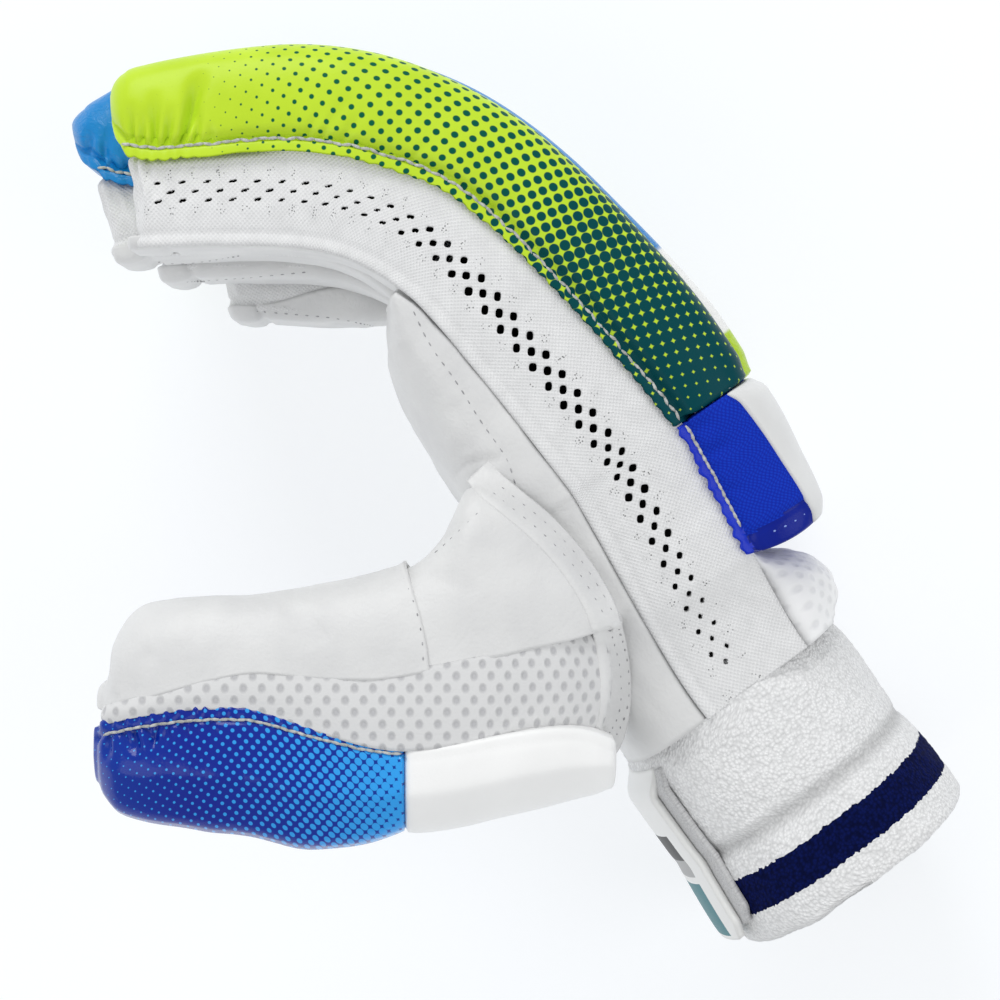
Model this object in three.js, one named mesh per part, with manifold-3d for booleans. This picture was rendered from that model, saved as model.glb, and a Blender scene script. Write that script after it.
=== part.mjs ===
// A right-hand cricket batting glove, lying on its little-finger side.
// +Z points from the little finger to the thumb side, and X and Y span the plane in which the fingers curl.
import * as THREE from "three";
import Module from "manifold-3d";

const wasm = await Module();
wasm.setup();

// Driving dimensions, in millimetres and degrees.
const INDEX_LENGTH = 94; // fingertip seam to knuckle, along the seam under the finger roll
const HAND_LENGTH = 123; // knuckle to the cuff's seam, along the same line
const FINGER_PITCH = 27; // width that each finger takes across the hand
const ROLL_WIDTH = 26.2;
const ROLL_HEIGHT = 22; // padding above its stitch line
const ROLL_OVERHANG = 5; // how far a roll reaches past the tip of its finger
const ROLL_ARC_STEPS = 7;
const PLEAT_DEPTH = 0.7; // gathers at the fingertip end of each roll
const PLEAT_PITCH = 4.2;
const PLEAT_LENGTH = 17;
const STITCH_LINE = 2.5; // height of the roll's stitch line above the visible top edge of the side panels
const LIP_DROP = 0.5; // how far the roll's cut edge hangs below that visible edge
const LIP_THICKNESS = 1;
const GUSSET_DEPTH = 25; // side panel at the knuckle, from the roll's edge to the palm leather
const GUSSET_THICKNESS = 1.5;
const GUSSET_BULGE = 1;
const GUSSET_TOP = 2; // height of the side panels' upper edge, which the roll's lip covers
const HOLE_PITCH = 6;
const HOLE_ROW_SPACING = 2.15;
const HOLE_ROWS = 3;
const HOLE_COLUMNS = 33;
const HOLE_WIDTH = 2.2;
const FIRST_HOLE = 8; // first column's distance from the fingertip
const LEATHER = 1.8;
const FINGER_LEATHER_WIDTH = 24.6;
const CROTCH_SLACK = 1; // how far the palm's edge drops where the fingers part
const PALM_DEPTH = 50; // palm leather's lowest line below the back seam
const PANEL_THICKNESS = 1.5; // mesh backing that carries the rolls
const PUFF_HEIGHT = 17; // loose mesh between the hand pad and the cuff
const PAD_HEIGHT = 23;
const PAD_COVER_LINE = 13.5; // where the white cover begins on the hand pad's side
const PAD_COVER = 1.5;
const CUFF_LENGTH = 54.5;
const CUFF_WALL = 3;
const CUFF_DEPTH = 63; // from the back to the palm side
const CUFF_CENTRE = -18.5; // cuff's middle line below the back seam
const CUFF_SIDES = 24;
const FLATTENING = 2; // how far the cuff's lower side is pressed in by its rest
const WRIST_NARROWING = 0.84;
const STRAP_LENGTH = 48; // along the cuff
const STRAP_START = 0.03; // share of the cuff from its seam
const STRAP_THICKNESS = 2.2;
const STRAP_BACKING = 1.6;
const STRAP_REACH = 3.4; // corners of the cuff that the strap covers to each side of its middle
const BACKING_REACH = 3.8;
const THUMB_LENGTH = 120;
const THUMB_HEIGHT = 30; // leather front above the pad's seam
const THUMB_WIDTH = 36;
const THUMB_TIP = new THREE.Vector2(-91.5, -113); // from the index finger's knuckle
const THUMB_JOINT = 0.6; // where the front leather meets the thumb's base, as a share of its length
const THUMB_MIDDLE = 102; // height of the thumb's middle above the little-finger side
const THUMB_PAD_DEPTH = 27;
const GAP = 0.3;
const END_GAP = 0.35; // gap at a piece's end, along the glove
const handEnd = 1 - END_GAP / HAND_LENGTH;

const FINGER_COUNT = 4;
const HAND_WIDTH = FINGER_COUNT * FINGER_PITCH;
const SIDE_GAP = FINGER_PITCH / 2 - 11.4; // from a finger's share of the width to its side panel
const ROLL_SIDE = (FINGER_PITCH - ROLL_WIDTH) / 2;
const PANEL_EDGE = SIDE_GAP + GUSSET_THICKNESS + 0.7; // the backing lies between the side panels
const PANEL_TOP = STITCH_LINE - GAP;
const CROTCH = -0.12; // where the fingers part, as a share of the finger
const KNUCKLE_LIP = -0.03; // where the inner edges of the rolls end, as a share of the finger
const ROLL_END = 0.492; // shares of the hand's length
const PAD_START = 0.499;
const PAD_END = 0.775;
const FINGER_STATIONS = [-0.8, -0.66, -0.54, -0.43, -0.32, -0.21];
const HAND_STATIONS = [0, 0.09, 0.19, 0.31, 0.42, ROLL_END];
const PALM_REAR = [0.5, 0.58, 0.68, PAD_END, 0.88, handEnd];
const PALM_STATIONS = [CROTCH, -0.06, 0, 0.09, 0.19, 0.31, 0.42, ...PALM_REAR];

// The back seam's direction towards the wrist: minus one is the fingertip, zero the knuckle, one the cuff.
const HEADING = [
  { at: -1, turn: 5 },
  { at: -0.65, turn: 0 },
  { at: -0.51, turn: -6 },
  { at: -0.37, turn: -18 },
  { at: -0.23, turn: -29 },
  { at: -0.11, turn: -37 },
  { at: 0, turn: -42.5 },
  { at: 0.32, turn: -49 },
  { at: 0.46, turn: -52 },
  { at: 0.54, turn: -60 },
  { at: 0.88, turn: -60 },
  { at: 1, turn: -54 },
];

// Length is a share of INDEX_LENGTH and lift is millimetres at the knuckle. The side panel's depth at the
// tip and its sag along the finger are shares of GUSSET_DEPTH. The roll's tip is a share of ROLL_OVERHANG,
// and its heel is what its wrist end adds to its height, as a share of ROLL_HEIGHT.
const FINGERS = [
  { name: "little", slot: 0, long: 0.86, curl: 14, lift: -2, tipDepth: 0.76, sag: 0.26, tip: 1, heel: 0 },
  { name: "ring", slot: 1, long: 1.05, curl: 8, lift: 3, tipDepth: 0.84, sag: 0.1, tip: 1, heel: 0 },
  { name: "middle", slot: 2, long: 1.14, curl: 7, lift: 4, tipDepth: 0.86, sag: 0.04, tip: 1.28, heel: 0.1 },
  { name: "index", slot: 3, long: 1, curl: 0, lift: 0, tipDepth: 0.93, sag: 0.02, tip: 0.7, heel: 0 },
];
const ROLL_COLOURS = { little: "lime", ring: "azure", middle: "azure", index: "lime" };

// The hand from the crotch to the cuff: depths of the side panel and the palm as shares of GUSSET_DEPTH and
// PALM_DEPTH, the puff as a share of PUFF_HEIGHT, the width, the holes' line down the panel, and the rolls'
// height as a share of ROLL_HEIGHT.
const HAND = [
  { at: -0.12, side: 1, palm: 0.61, puff: 0, narrow: 1, holes: 0.47, roll: 1 },
  { at: -0.05, side: 1, palm: 0.74, puff: 0, narrow: 1, holes: 0.49, roll: 1 },
  { at: 0.05, side: 1.03, palm: 0.87, puff: 0, narrow: 1, holes: 0.5, roll: 1 },
  { at: 0.14, side: 1.07, palm: 0.94, puff: 0, narrow: 0.99, holes: 0.52, roll: 1 },
  { at: 0.34, side: 1.13, palm: 1.02, puff: 0, narrow: 0.97, holes: 0.53, roll: 0.98 },
  { at: 0.49, side: 1.15, palm: 1.02, puff: 0, narrow: 0.95, holes: 0.54, roll: 0.92 },
  { at: 0.6, side: 1.15, palm: 1.01, puff: 0, narrow: 0.93, holes: 0.54, roll: 0.9 },
  { at: 0.775, side: 1.12, palm: 1, puff: 0, narrow: 0.9, holes: 0.56, roll: 0.8 },
  { at: 0.84, side: 1.08, palm: 0.99, puff: 0.7, narrow: 0.87, holes: 0.57, roll: 0.8 },
  { at: 0.92, side: 1.02, palm: 0.98, puff: 1, narrow: 0.85, holes: 0.6, roll: 0.8 },
  { at: 1, side: 0.96, palm: 0.985, puff: 0.72, narrow: WRIST_NARROWING, holes: 0.62, roll: 0.8 },
];

// The rounded end of a roll: distance from its end as a share of ROLL_HEIGHT, then shares of its height and
// width.
const ROLL_TIP = [
  { at: 0, high: 0.4, wide: 0.6 },
  { at: 0.06, high: 0.6, wide: 0.78 },
  { at: 0.2, high: 0.75, wide: 0.9 },
  { at: 0.42, high: 0.81, wide: 0.96 },
  { at: 0.95, high: 0.89, wide: 0.99 },
  { at: 1.8, high: 0.98, wide: 1 },
  { at: 2.6, high: 1, wide: 1 },
];

// Bulge of a side panel down its depth.
const SIDE_CURVE = [
  { down: 0, out: 0 },
  { down: 0.25, out: 0.3 },
  { down: 0.62, out: 1 },
  { down: 1, out: 0.4 },
];

// The thumb from tip to root: leather front and mesh lines above the pad's seam, in shares of THUMB_HEIGHT,
// and the near and far sides as shares of half of THUMB_WIDTH.
const THUMB = [
  { at: 0, front: 0.3, mesh: 0.1, seam: 0, near: 0.5, far: 0.5 },
  { at: 0.02, front: 0.64, mesh: 0.13, seam: 0.02, near: 0.74, far: 0.74 },
  { at: 0.06, front: 0.86, mesh: 0.17, seam: 0.06, near: 0.9, far: 0.9 },
  { at: 0.12, front: 0.93, mesh: 0.24, seam: 0.1, near: 0.97, far: 0.95 },
  { at: 0.19, front: 0.95, mesh: 0.32, seam: 0.13, near: 1, far: 0.97 },
  { at: 0.29, front: 0.97, mesh: 0.4, seam: 0.12, near: 1, far: 0.98 },
  { at: 0.4, front: 1.03, mesh: 0.36, seam: -0.02, near: 1, far: 1 },
  { at: 0.5, front: 1.1, mesh: 0.35, seam: -0.14, near: 1, far: 1 },
  { at: 0.56, front: 1.16, mesh: 0.38, seam: -0.18, near: 1, far: 1 },
  { at: 0.6, front: 1.22, mesh: 0.41, seam: -0.18, near: 1, far: 1 },
  { at: 0.65, front: 1.42, mesh: 0.44, seam: -0.16, near: 1, far: 1.05 },
  { at: 0.7, front: 1.8, mesh: 0.48, seam: -0.13, near: 0.98, far: 1.1 },
  { at: 0.76, front: 1.78, mesh: 0.52, seam: -0.08, near: 0.93, far: 1.1 },
  { at: 0.83, front: 1.6, mesh: 0.58, seam: -0.04, near: 0.8, far: 1.1 },
  { at: 0.9, front: 1.32, mesh: 0.64, seam: -0.02, near: 0.62, far: 1.1 },
  { at: 0.96, front: 0.98, mesh: 0.7, seam: -0.04, near: 0.36, far: 1.1 },
  { at: 1, front: 0.8, mesh: 0.72, seam: -0.08, near: 0.16, far: 1.1 },
];

// The blue thumb pad and the white guard behind it: depth below the seam, width, and what its top rises by.
const THUMB_PAD = [
  { at: -0.012, deep: 0.52, wide: 0.5, top: -0.04 },
  { at: 0, deep: 0.66, wide: 0.68, top: 0 },
  { at: 0.03, deep: 0.83, wide: 0.86, top: 0 },
  { at: 0.08, deep: 0.95, wide: 0.96, top: 0 },
  { at: 0.14, deep: 1.03, wide: 1, top: 0 },
  { at: 0.22, deep: 1.11, wide: 1.03, top: 0 },
  { at: 0.36, deep: 1.12, wide: 1.03, top: 0 },
  { at: 0.46, deep: 0.98, wide: 1.02, top: 0 },
  { at: 0.578, deep: 0.74, wide: 1, top: 0 },
];
const THUMB_GUARD = [
  { at: 0.586, deep: 0.75, wide: 0.97, top: 0 },
  { at: 0.6, deep: 0.76, wide: 1, top: 0 },
  { at: 0.68, deep: 0.76, wide: 1.02, top: 0 },
  { at: 0.78, deep: 0.74, wide: 1.02, top: 0 },
  { at: 0.87, deep: 0.69, wide: 0.98, top: 0 },
  { at: 0.94, deep: 0.58, wide: 0.9, top: -0.03 },
  { at: 0.978, deep: 0.44, wide: 0.78, top: -0.08 },
];

// The cuff along its length: shares of half its depth and half its width.
const CUFF = [
  { at: 0, deep: 0.985, wide: 1 },
  { at: 0.12, deep: 1.015, wide: 1.01 },
  { at: 0.56, deep: 1.02, wide: 1.01 },
  { at: 0.62, deep: 0.99, wide: 0.99 },
  { at: 0.68, deep: 1.03, wide: 1.01 },
  { at: 0.86, deep: 1.07, wide: 1.01 },
  { at: 0.97, deep: 1.06, wide: 1.01 },
  { at: 1, deep: 1.03, wide: 0.995 },
];

const MATERIALS = {
  lime: finish(0xbfe02a, 0.42),
  azure: finish(0x1a84d4, 0.42),
  royal: finish(0x1030c8, 0.7),
  white_cover: finish(0xf0f0ee, 0.4),
  leather: finish(0xe6e6e4, 0.55),
  knit: finish(0xf2f2f2, 0.9),
  terry: finish(0xededea, 0.95),
  thumb_blue: finish(0x1c46c0, 0.35),
  strap: finish(0xe8e8e6, 0.5),
  hook_felt: finish(0xbdbdba, 0.95),
};

function finish(colour, roughness) {
  return new THREE.MeshStandardMaterial({ color: colour, roughness, metalness: 0 });
}

// A table's column at any place between its rows, on a smooth curve through them.
function column(table, key, at) {
  const last = table.length - 1;
  if (at <= table[0].at) return table[0][key];
  if (at >= table[last].at) return table[last][key];
  let i = 0;
  while (table[i + 1].at < at) i++;
  const slope = (k) => {
    const a = Math.max(0, k - 1);
    const b = Math.min(last, k + 1);
    return (table[b][key] - table[a][key]) / (table[b].at - table[a].at);
  };
  const span = table[i + 1].at - table[i].at;
  const t = (at - table[i].at) / span;
  const [p, q] = [table[i][key], table[i + 1][key]];
  const rise = t * t * (3 - 2 * t);
  const bow = slope(i) * t * (1 - t) * (1 - t) - slope(i + 1) * t * t * (1 - t);
  return p + (q - p) * rise + span * bow;
}

const power = (value, exponent) => Math.sign(value) * Math.abs(value) ** exponent;
const mix = (a, b, t) => a + (b - a) * t;

function stations(from, to, count) {
  return Array.from({ length: count + 1 }, (_, i) => mix(from, to, i / count));
}

// A closed solid through rings of [n, z] points, each ring placed in space by place(at, n, z).
function loft(rings, place) {
  const count = rings[0].outline.length;
  const points = rings.flatMap((ring) => ring.outline.map(([n, z]) => place(ring.at, n, z)));
  const triangles = [];
  for (let r = 0; r + 1 < rings.length; r++) {
    for (let i = 0; i < count; i++) {
      const j = (i + 1) % count;
      const [a, b, c, d] = [r * count + i, r * count + j, (r + 1) * count + i, (r + 1) * count + j];
      triangles.push([a, b, d], [a, d, c]);
    }
  }
  const cap = (ring, start, reverse) => {
    const flat = ring.outline.map(([n, z]) => new THREE.Vector2(n, z));
    const turned = THREE.ShapeUtils.isClockWise(flat);
    for (const face of THREE.ShapeUtils.triangulateShape(flat, [])) {
      const [a, b, c] = face.map((k) => start + k);
      triangles.push(turned !== reverse ? [a, b, c] : [a, c, b]);
    }
  };
  cap(rings[0], 0, false);
  cap(rings[rings.length - 1], (rings.length - 1) * count, true);
  return solidFrom(points, consistent(rings, triangles, count));
}

// Caps take the winding that matches the sides, so that the surface closes.
function consistent(rings, triangles, count) {
  const sides = 2 * count * (rings.length - 1);
  const edgesOf = ([a, b, c]) => [`${a},${b}`, `${b},${c}`, `${c},${a}`];
  const edges = new Set(triangles.slice(0, sides).flatMap(edgesOf));
  const flips = triangles.slice(sides).map((triangle) => edgesOf(triangle).some((edge) => edges.has(edge)));
  const half = (triangles.length - sides) / 2;
  const flipFirst = flips.slice(0, half).some(Boolean);
  const flipLast = flips.slice(half).some(Boolean);
  return triangles.map(([a, b, c], i) => {
    if (i < sides) return [a, b, c];
    return (i < sides + half ? flipFirst : flipLast) ? [a, c, b] : [a, b, c];
  });
}

function solidFrom(points, triangles) {
  const volume = triangles.reduce(
    (sum, [a, b, c]) => sum + points[a].dot(new THREE.Vector3().crossVectors(points[b], points[c])),
    0,
  );
  const facing = volume > 0 ? triangles : triangles.map(([a, b, c]) => [a, c, b]);
  return new wasm.Manifold(
    new wasm.Mesh({
      numProp: 3,
      vertProperties: new Float32Array(points.flatMap((p) => [p.x, p.y, p.z])),
      triVerts: new Uint32Array(facing.flat()),
    }),
  );
}

const glove = new THREE.Group();

function add(name, solid, material) {
  const mesh = solid.getMesh();
  const geometry = new THREE.BufferGeometry();
  geometry.setAttribute("position", new THREE.BufferAttribute(mesh.vertProperties, 3));
  geometry.setIndex(new THREE.BufferAttribute(mesh.triVerts, 1));
  const shown = new THREE.Mesh(geometry.toNonIndexed(), material);
  shown.geometry.computeVertexNormals();
  shown.name = name;
  glove.add(shown);
}

// The back seam's curve for one finger and the hand behind it, found by stepping along its heading.
function spineOf(length, curl, lift) {
  const steps = 100;
  const heading = (u) => THREE.MathUtils.degToRad(column(HEADING, "turn", u) - curl * Math.min(0, u));
  const walk = (sign, reach, start) => {
    const line = [start.clone()];
    for (let i = 0; i < steps; i++) {
      const angle = heading((sign * (i + 0.5)) / steps);
      const step = (sign * reach) / steps;
      line.push(line[i].clone().add(new THREE.Vector2(Math.cos(angle) * step, Math.sin(angle) * step)));
    }
    return line;
  };
  const knuckle = heading(0);
  const raised = new THREE.Vector2(-Math.sin(knuckle) * lift, Math.cos(knuckle) * lift);
  const lines = { finger: walk(-1, length, raised), hand: walk(1, HAND_LENGTH, new THREE.Vector2()) };
  return (u) => {
    const line = u < 0 ? lines.finger : lines.hand;
    const reach = u < 0 ? length : HAND_LENGTH;
    const share = Math.abs(u);
    const angle = heading(THREE.MathUtils.clamp(u, -1, 1));
    const i = Math.min(steps - 1, Math.floor(share * steps));
    const point = line[i].clone().lerp(line[i + 1], Math.min(1, share * steps - i));
    const past = Math.max(0, share - 1) * reach * Math.sign(u);
    point.add(new THREE.Vector2(Math.cos(angle) * past, Math.sin(angle) * past));
    return { point, angle };
  };
}

const narrowAt = (u) => column(HAND, "narrow", u);
const lifted = (lift, u) => (u < 0 ? 0 : lift * Math.max(0, 1 - u));

function placer(finger) {
  const spine = spineOf(finger.long * INDEX_LENGTH, finger.curl, finger.lift);
  return (u, n, z) => {
    const { point, angle } = spine(u);
    const out = n + lifted(finger.lift, u);
    return new THREE.Vector3(
      point.x - Math.sin(angle) * out,
      point.y + Math.cos(angle) * out,
      z * narrowAt(u),
    );
  };
}

const HAND_LINE = { long: 1, curl: 0, lift: 0 };
const onHand = placer(HAND_LINE);
const middleOf = (finger) => (finger.slot + 0.5) * FINGER_PITCH;
const fingerLength = (finger) => finger.long * INDEX_LENGTH;

// Height of the backing across the hand: flat under each roll, with short slopes between.
const ARCH_SLOPE = FINGER_PITCH / 14;
const ARCH = FINGERS.flatMap((f) => [
  { at: f.slot * FINGER_PITCH + ARCH_SLOPE, lift: f.lift },
  { at: (f.slot + 1) * FINGER_PITCH - ARCH_SLOPE, lift: f.lift },
]);

function archAt(z, u) {
  const next = ARCH.findIndex((knot) => knot.at >= z);
  if (next === 0) return lifted(ARCH[0].lift, u);
  if (next < 0) return lifted(ARCH[ARCH.length - 1].lift, u);
  const [a, b] = [ARCH[next - 1], ARCH[next]];
  return lifted(mix(a.lift, b.lift, (z - a.at) / (b.at - a.at)), u);
}

function sideDepth(finger, u) {
  const rise = u < 0 ? finger.lift : lifted(finger.lift, u);
  if (u >= CROTCH) return GUSSET_DEPTH * column(HAND, "side", u) + rise;
  const t = Math.min(1, (CROTCH - u) / (1 + CROTCH));
  const sag = GUSSET_DEPTH * finger.sag * Math.sin(Math.PI * t);
  return mix(GUSSET_DEPTH + finger.lift, GUSSET_DEPTH * finger.tipDepth, t ** 0.8) + sag;
}

// The padded roll over one finger, running on across the back of the hand.
function roll(finger) {
  const place = placer(finger);
  const length = fingerLength(finger);
  const overhang = ROLL_OVERHANG * finger.tip;
  const tip = -1 - overhang / length;
  const shareOf = (distance) => tip + distance / length;
  const open = overhang - END_GAP;
  const pleated = stations(open + PLEAT_PITCH / 2, PLEAT_LENGTH + 2, 4);
  const ends = [0, 0.06 * ROLL_HEIGHT, open - 0.1, open];
  const along = [...ends, ...pleated].map(shareOf);
  const middle = middleOf(finger);
  const rest = FINGER_STATIONS.filter((u) => u > shareOf(PLEAT_LENGTH + 4));
  const rings = [...along, ...rest, CROTCH, KNUCKLE_LIP, ...HAND_STATIONS].map((u) => {
    const distance = (u - tip) * length;
    const heel = finger.heel * THREE.MathUtils.smoothstep(u, HAND_STATIONS[1], HAND_STATIONS[4]);
    const slim = (column(HAND, "roll", u) + heel) * (u === ROLL_END ? 0.94 : 1);
    const high = ROLL_HEIGHT * column(ROLL_TIP, "high", distance / ROLL_HEIGHT) * slim;
    const wide = (ROLL_WIDTH / 2) * column(ROLL_TIP, "wide", distance / ROLL_HEIGHT);
    const fade = Math.max(0, 1 - distance / PLEAT_LENGTH);
    const gather = PLEAT_DEPTH * fade * Math.cos((2 * Math.PI * distance) / PLEAT_PITCH);
    return { at: u, outline: rollOutline(finger, u, high, wide, gather, middle) };
  });
  return loft(rings, (u, n, z) => place(u, n, middle + z));
}

function rollOutline(finger, u, high, wide, gather, middle) {
  const closed = (u + 1) * fingerLength(finger) < -END_GAP - 0.05;
  const parted = u < 0;
  const inner = wide - LIP_THICKNESS;
  const under = (z) => {
    if (closed) return -LIP_DROP;
    const rise = archAt(middle + z, Math.max(0, u)) - lifted(finger.lift, Math.max(0, u));
    return STITCH_LINE + (parted ? 0 : Math.max(0, rise));
  };
  const lip = (outermost, z) => (closed || parted || outermost ? -LIP_DROP : under(z) + GAP / 2);
  const outline = [];
  for (let k = 0; k <= ROLL_ARC_STEPS; k++) {
    const angle = Math.PI * (1 - k / ROLL_ARC_STEPS);
    const low = Math.max(0, 1 - Math.sin(angle) * 1.6);
    const z = (wide - gather * low) * power(Math.cos(angle), 0.62);
    const start = k === 0 || k === ROLL_ARC_STEPS ? under(z) + GAP : STITCH_LINE;
    outline.push([start + high * power(Math.sin(angle), 0.72), z]);
  }
  const [thumbward, littleward] = [finger.slot === 3, finger.slot === 0];
  outline.push([lip(thumbward, wide), wide], [lip(thumbward, inner), inner], [under(inner), inner * 0.98]);
  outline.push([under(0), 0], [under(-inner), -inner * 0.98]);
  outline.push([lip(littleward, -inner), -inner], [lip(littleward, -wide), -wide]);
  return outline;
}

// A finger's side walls as one solid with its hollow cut out. The thumb side's wall wraps round the tip.
function sideWalls(finger, end) {
  const place = placer(finger);
  const middle = middleOf(finger);
  const length = fingerLength(finger);
  const half = FINGER_PITCH / 2 - SIDE_GAP;
  const tips = [-1, -1 + 1.5 / length, -1 + 4 / length, -1 + 9 / length];
  const along = [...tips, ...[...FINGER_STATIONS, ...PALM_STATIONS].filter((u) => u < end - 0.001), end];
  const outline = (u, inset, extra) => {
    const shrink = Math.min(1, 0.82 + (0.18 * (u + 1) * length) / 7);
    const width = half * shrink - inset;
    const level = (down, out, side) => {
      const past = down === 0 ? extra : down === 1 ? -extra : 0;
      return [
        GUSSET_TOP - down * (GUSSET_TOP + sideDepth(finger, u)) + past,
        middle + side * (width + out * GUSSET_BULGE),
      ];
    };
    return [
      ...SIDE_CURVE.map(({ down, out }) => level(down, out, 1)),
      ...[...SIDE_CURVE].reverse().map(({ down, out }) => level(down, out, -1)),
    ];
  };
  const outer = loft(along.map((u) => ({ at: u, outline: outline(u, 0, 0) })), place);
  const inside = [-1 + GUSSET_THICKNESS / length, ...along.slice(2), end + 0.05];
  const inner = loft(inside.map((u) => ({ at: u, outline: outline(u, GUSSET_THICKNESS, 4) })), place);
  return outer.subtract(inner);
}

function box(low, high) {
  const rings = [low.x, high.x].map((x) => ({
    at: x,
    outline: [[low.y, low.z], [high.y, low.z], [high.y, high.z], [low.y, high.z]],
  }));
  return loft(rings, (x, y, z) => new THREE.Vector3(x, y, z));
}

const FAR = 400;
const slab = (lowZ, highZ) => box(new THREE.Vector3(-FAR, -FAR, lowZ), new THREE.Vector3(FAR, FAR, highZ));

// The rows of holes in the long panel on the thumb side.
function perforations(finger) {
  const place = placer(finger);
  const length = fingerLength(finger);
  const half = HOLE_WIDTH / 2;
  const shareAt = (d) => (d < length ? d / length - 1 : (d - length) / HAND_LENGTH);
  const cutters = [];
  for (let i = 0; i < HOLE_COLUMNS; i++) {
    for (let row = 0; row < HOLE_ROWS; row++) {
      const d = FIRST_HOLE + HOLE_PITCH * (i + (row % 2) / 2);
      const u = shareAt(d);
      const middle = -sideDepth(finger, u) * column(HAND, "holes", u);
      const n = middle + HOLE_ROW_SPACING * (row - (HOLE_ROWS - 1) / 2);
      const z = HAND_WIDTH * narrowAt(u);
      const corner = (across, down) => {
        const p = place(shareAt(d + across * half), n + down * half, 0);
        return [p.x, p.y];
      };
      const outline = [corner(-1, 0), corner(0, -1), corner(1, 0), corner(0, 1)];
      const rings = [z - 9, z + 4].map((at) => ({ at, outline }));
      cutters.push(loft(rings, (at, x, y) => new THREE.Vector3(x, y, at)));
    }
  }
  return wasm.Manifold.union(cutters);
}

// Outline of the hand's palm side: a deep U from one side panel's lower edge to the other's.
function palmOutline(u, inset, above) {
  const steps = 9;
  const half = HAND_WIDTH / 2 - SIDE_GAP + 0.4 - inset;
  const top = -GUSSET_DEPTH * column(HAND, "side", u) - GAP - CROTCH_SLACK * Math.max(0, u / CROTCH);
  const deep = PALM_DEPTH * column(HAND, "palm", u) + top - inset;
  const outline = [];
  for (let i = 0; i <= steps; i++) {
    const angle = (Math.PI * i) / steps;
    const z = HAND_WIDTH / 2 + half * power(Math.cos(angle), 0.6);
    outline.push([top - deep * power(Math.sin(angle), 0.6), z]);
  }
  if (above > 0) {
    outline.push([top + above, HAND_WIDTH / 2 - half], [top + above, HAND_WIDTH / 2 + half]);
  }
  return outline;
}

function palmSolid(grow, above) {
  return loft(PALM_STATIONS.map((u) => ({ at: u, outline: palmOutline(u, -grow, above) })), onHand);
}

function fingerLeather(finger) {
  const place = placer(finger);
  const length = fingerLength(finger);
  const middle = middleOf(finger);
  const tips = [-1 - 1.5 / length, -1, -1 + 1.5 / length, -1 + 4 / length, -1 + 9 / length];
  const along = [...tips, ...FINGER_STATIONS, CROTCH, CROTCH + LEATHER / INDEX_LENGTH];
  const rings = along.map((u) => {
    const half = (FINGER_LEATHER_WIDTH / 2) * Math.min(1, 0.72 + (0.28 * ((u + 1) * length + 1.5)) / 6);
    const [left, right] = [middle - half, middle + half];
    const top = -sideDepth(finger, u) - GAP;
    const low = top - LEATHER;
    return { at: u, outline: [[top, right], [top, left], [low, left], [low, right]] };
  });
  return loft(rings, place);
}

// The thumb lies along X, with its pad facing -Y.
function onThumb(at, n, z) {
  return new THREE.Vector3(THUMB_TIP.x + at * THUMB_LENGTH, THUMB_TIP.y + n, z);
}

const THUMB_STATIONS = THUMB.map((row) => row.at);
const thumbSides = (at, inset) => [
  THUMB_MIDDLE - (THUMB_WIDTH / 2) * column(THUMB, "far", at) + inset,
  THUMB_MIDDLE + (THUMB_WIDTH / 2) * column(THUMB, "near", at) - inset,
];

// The thumb's leather front in section: half a rounded box, closed by a straight line lower down.
function thumbOutline(at, inset, floor) {
  const steps = 8;
  const [far, near] = thumbSides(at, inset);
  const start = column(THUMB, "mesh", at) * THUMB_HEIGHT + GAP;
  const high = column(THUMB, "front", at) * THUMB_HEIGHT - start - inset;
  const outline = [];
  for (let i = 0; i <= steps; i++) {
    const angle = (Math.PI * i) / steps;
    const z = (near + far) / 2 + ((near - far) / 2) * power(Math.cos(angle), 0.7);
    outline.push([start + high * power(Math.sin(angle), 0.75), z]);
  }
  if (floor > 0) outline.push([start - floor, far], [start - floor, near]);
  return outline;
}

function thumbShell(from, to) {
  const inside = THUMB_STATIONS.filter((at) => at > from && at < to);
  const ring = (inset, floor) => (at) => ({ at, outline: thumbOutline(at, inset, floor) });
  const wall = LEATHER / THUMB_LENGTH;
  const start = from > 0 ? from - wall : wall;
  const hollow = [start, ...inside.filter((at) => at > start), to + wall];
  const outer = loft([from, ...inside, to].map(ring(0, 0)), onThumb);
  return outer.subtract(loft(hollow.map(ring(LEATHER, 20)), onThumb));
}

function thumbHollow() {
  const rows = THUMB_STATIONS.filter((at) => at > 0.1);
  return loft(rows.map((at) => ({ at, outline: thumbOutline(at, LEATHER, 12) })), onThumb);
}

function thumbMesh() {
  const outline = (at, inset, extra) => {
    const [far, near] = thumbSides(at, inset);
    const low = column(THUMB, "seam", at) * THUMB_HEIGHT - extra;
    const high = column(THUMB, "mesh", at) * THUMB_HEIGHT + extra;
    return [[low, far], [high, far], [high, near], [low, near]];
  };
  const outer = loft(THUMB_STATIONS.map((at) => ({ at, outline: outline(at, 0, 0) })), onThumb);
  const start = GUSSET_THICKNESS / THUMB_LENGTH;
  const rows = [start, ...THUMB_STATIONS.filter((at) => at > start), 1.05];
  const inner = loft(rows.map((at) => ({ at, outline: outline(at, GUSSET_THICKNESS, 6) })), onThumb);
  return outer.subtract(inner);
}

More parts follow.
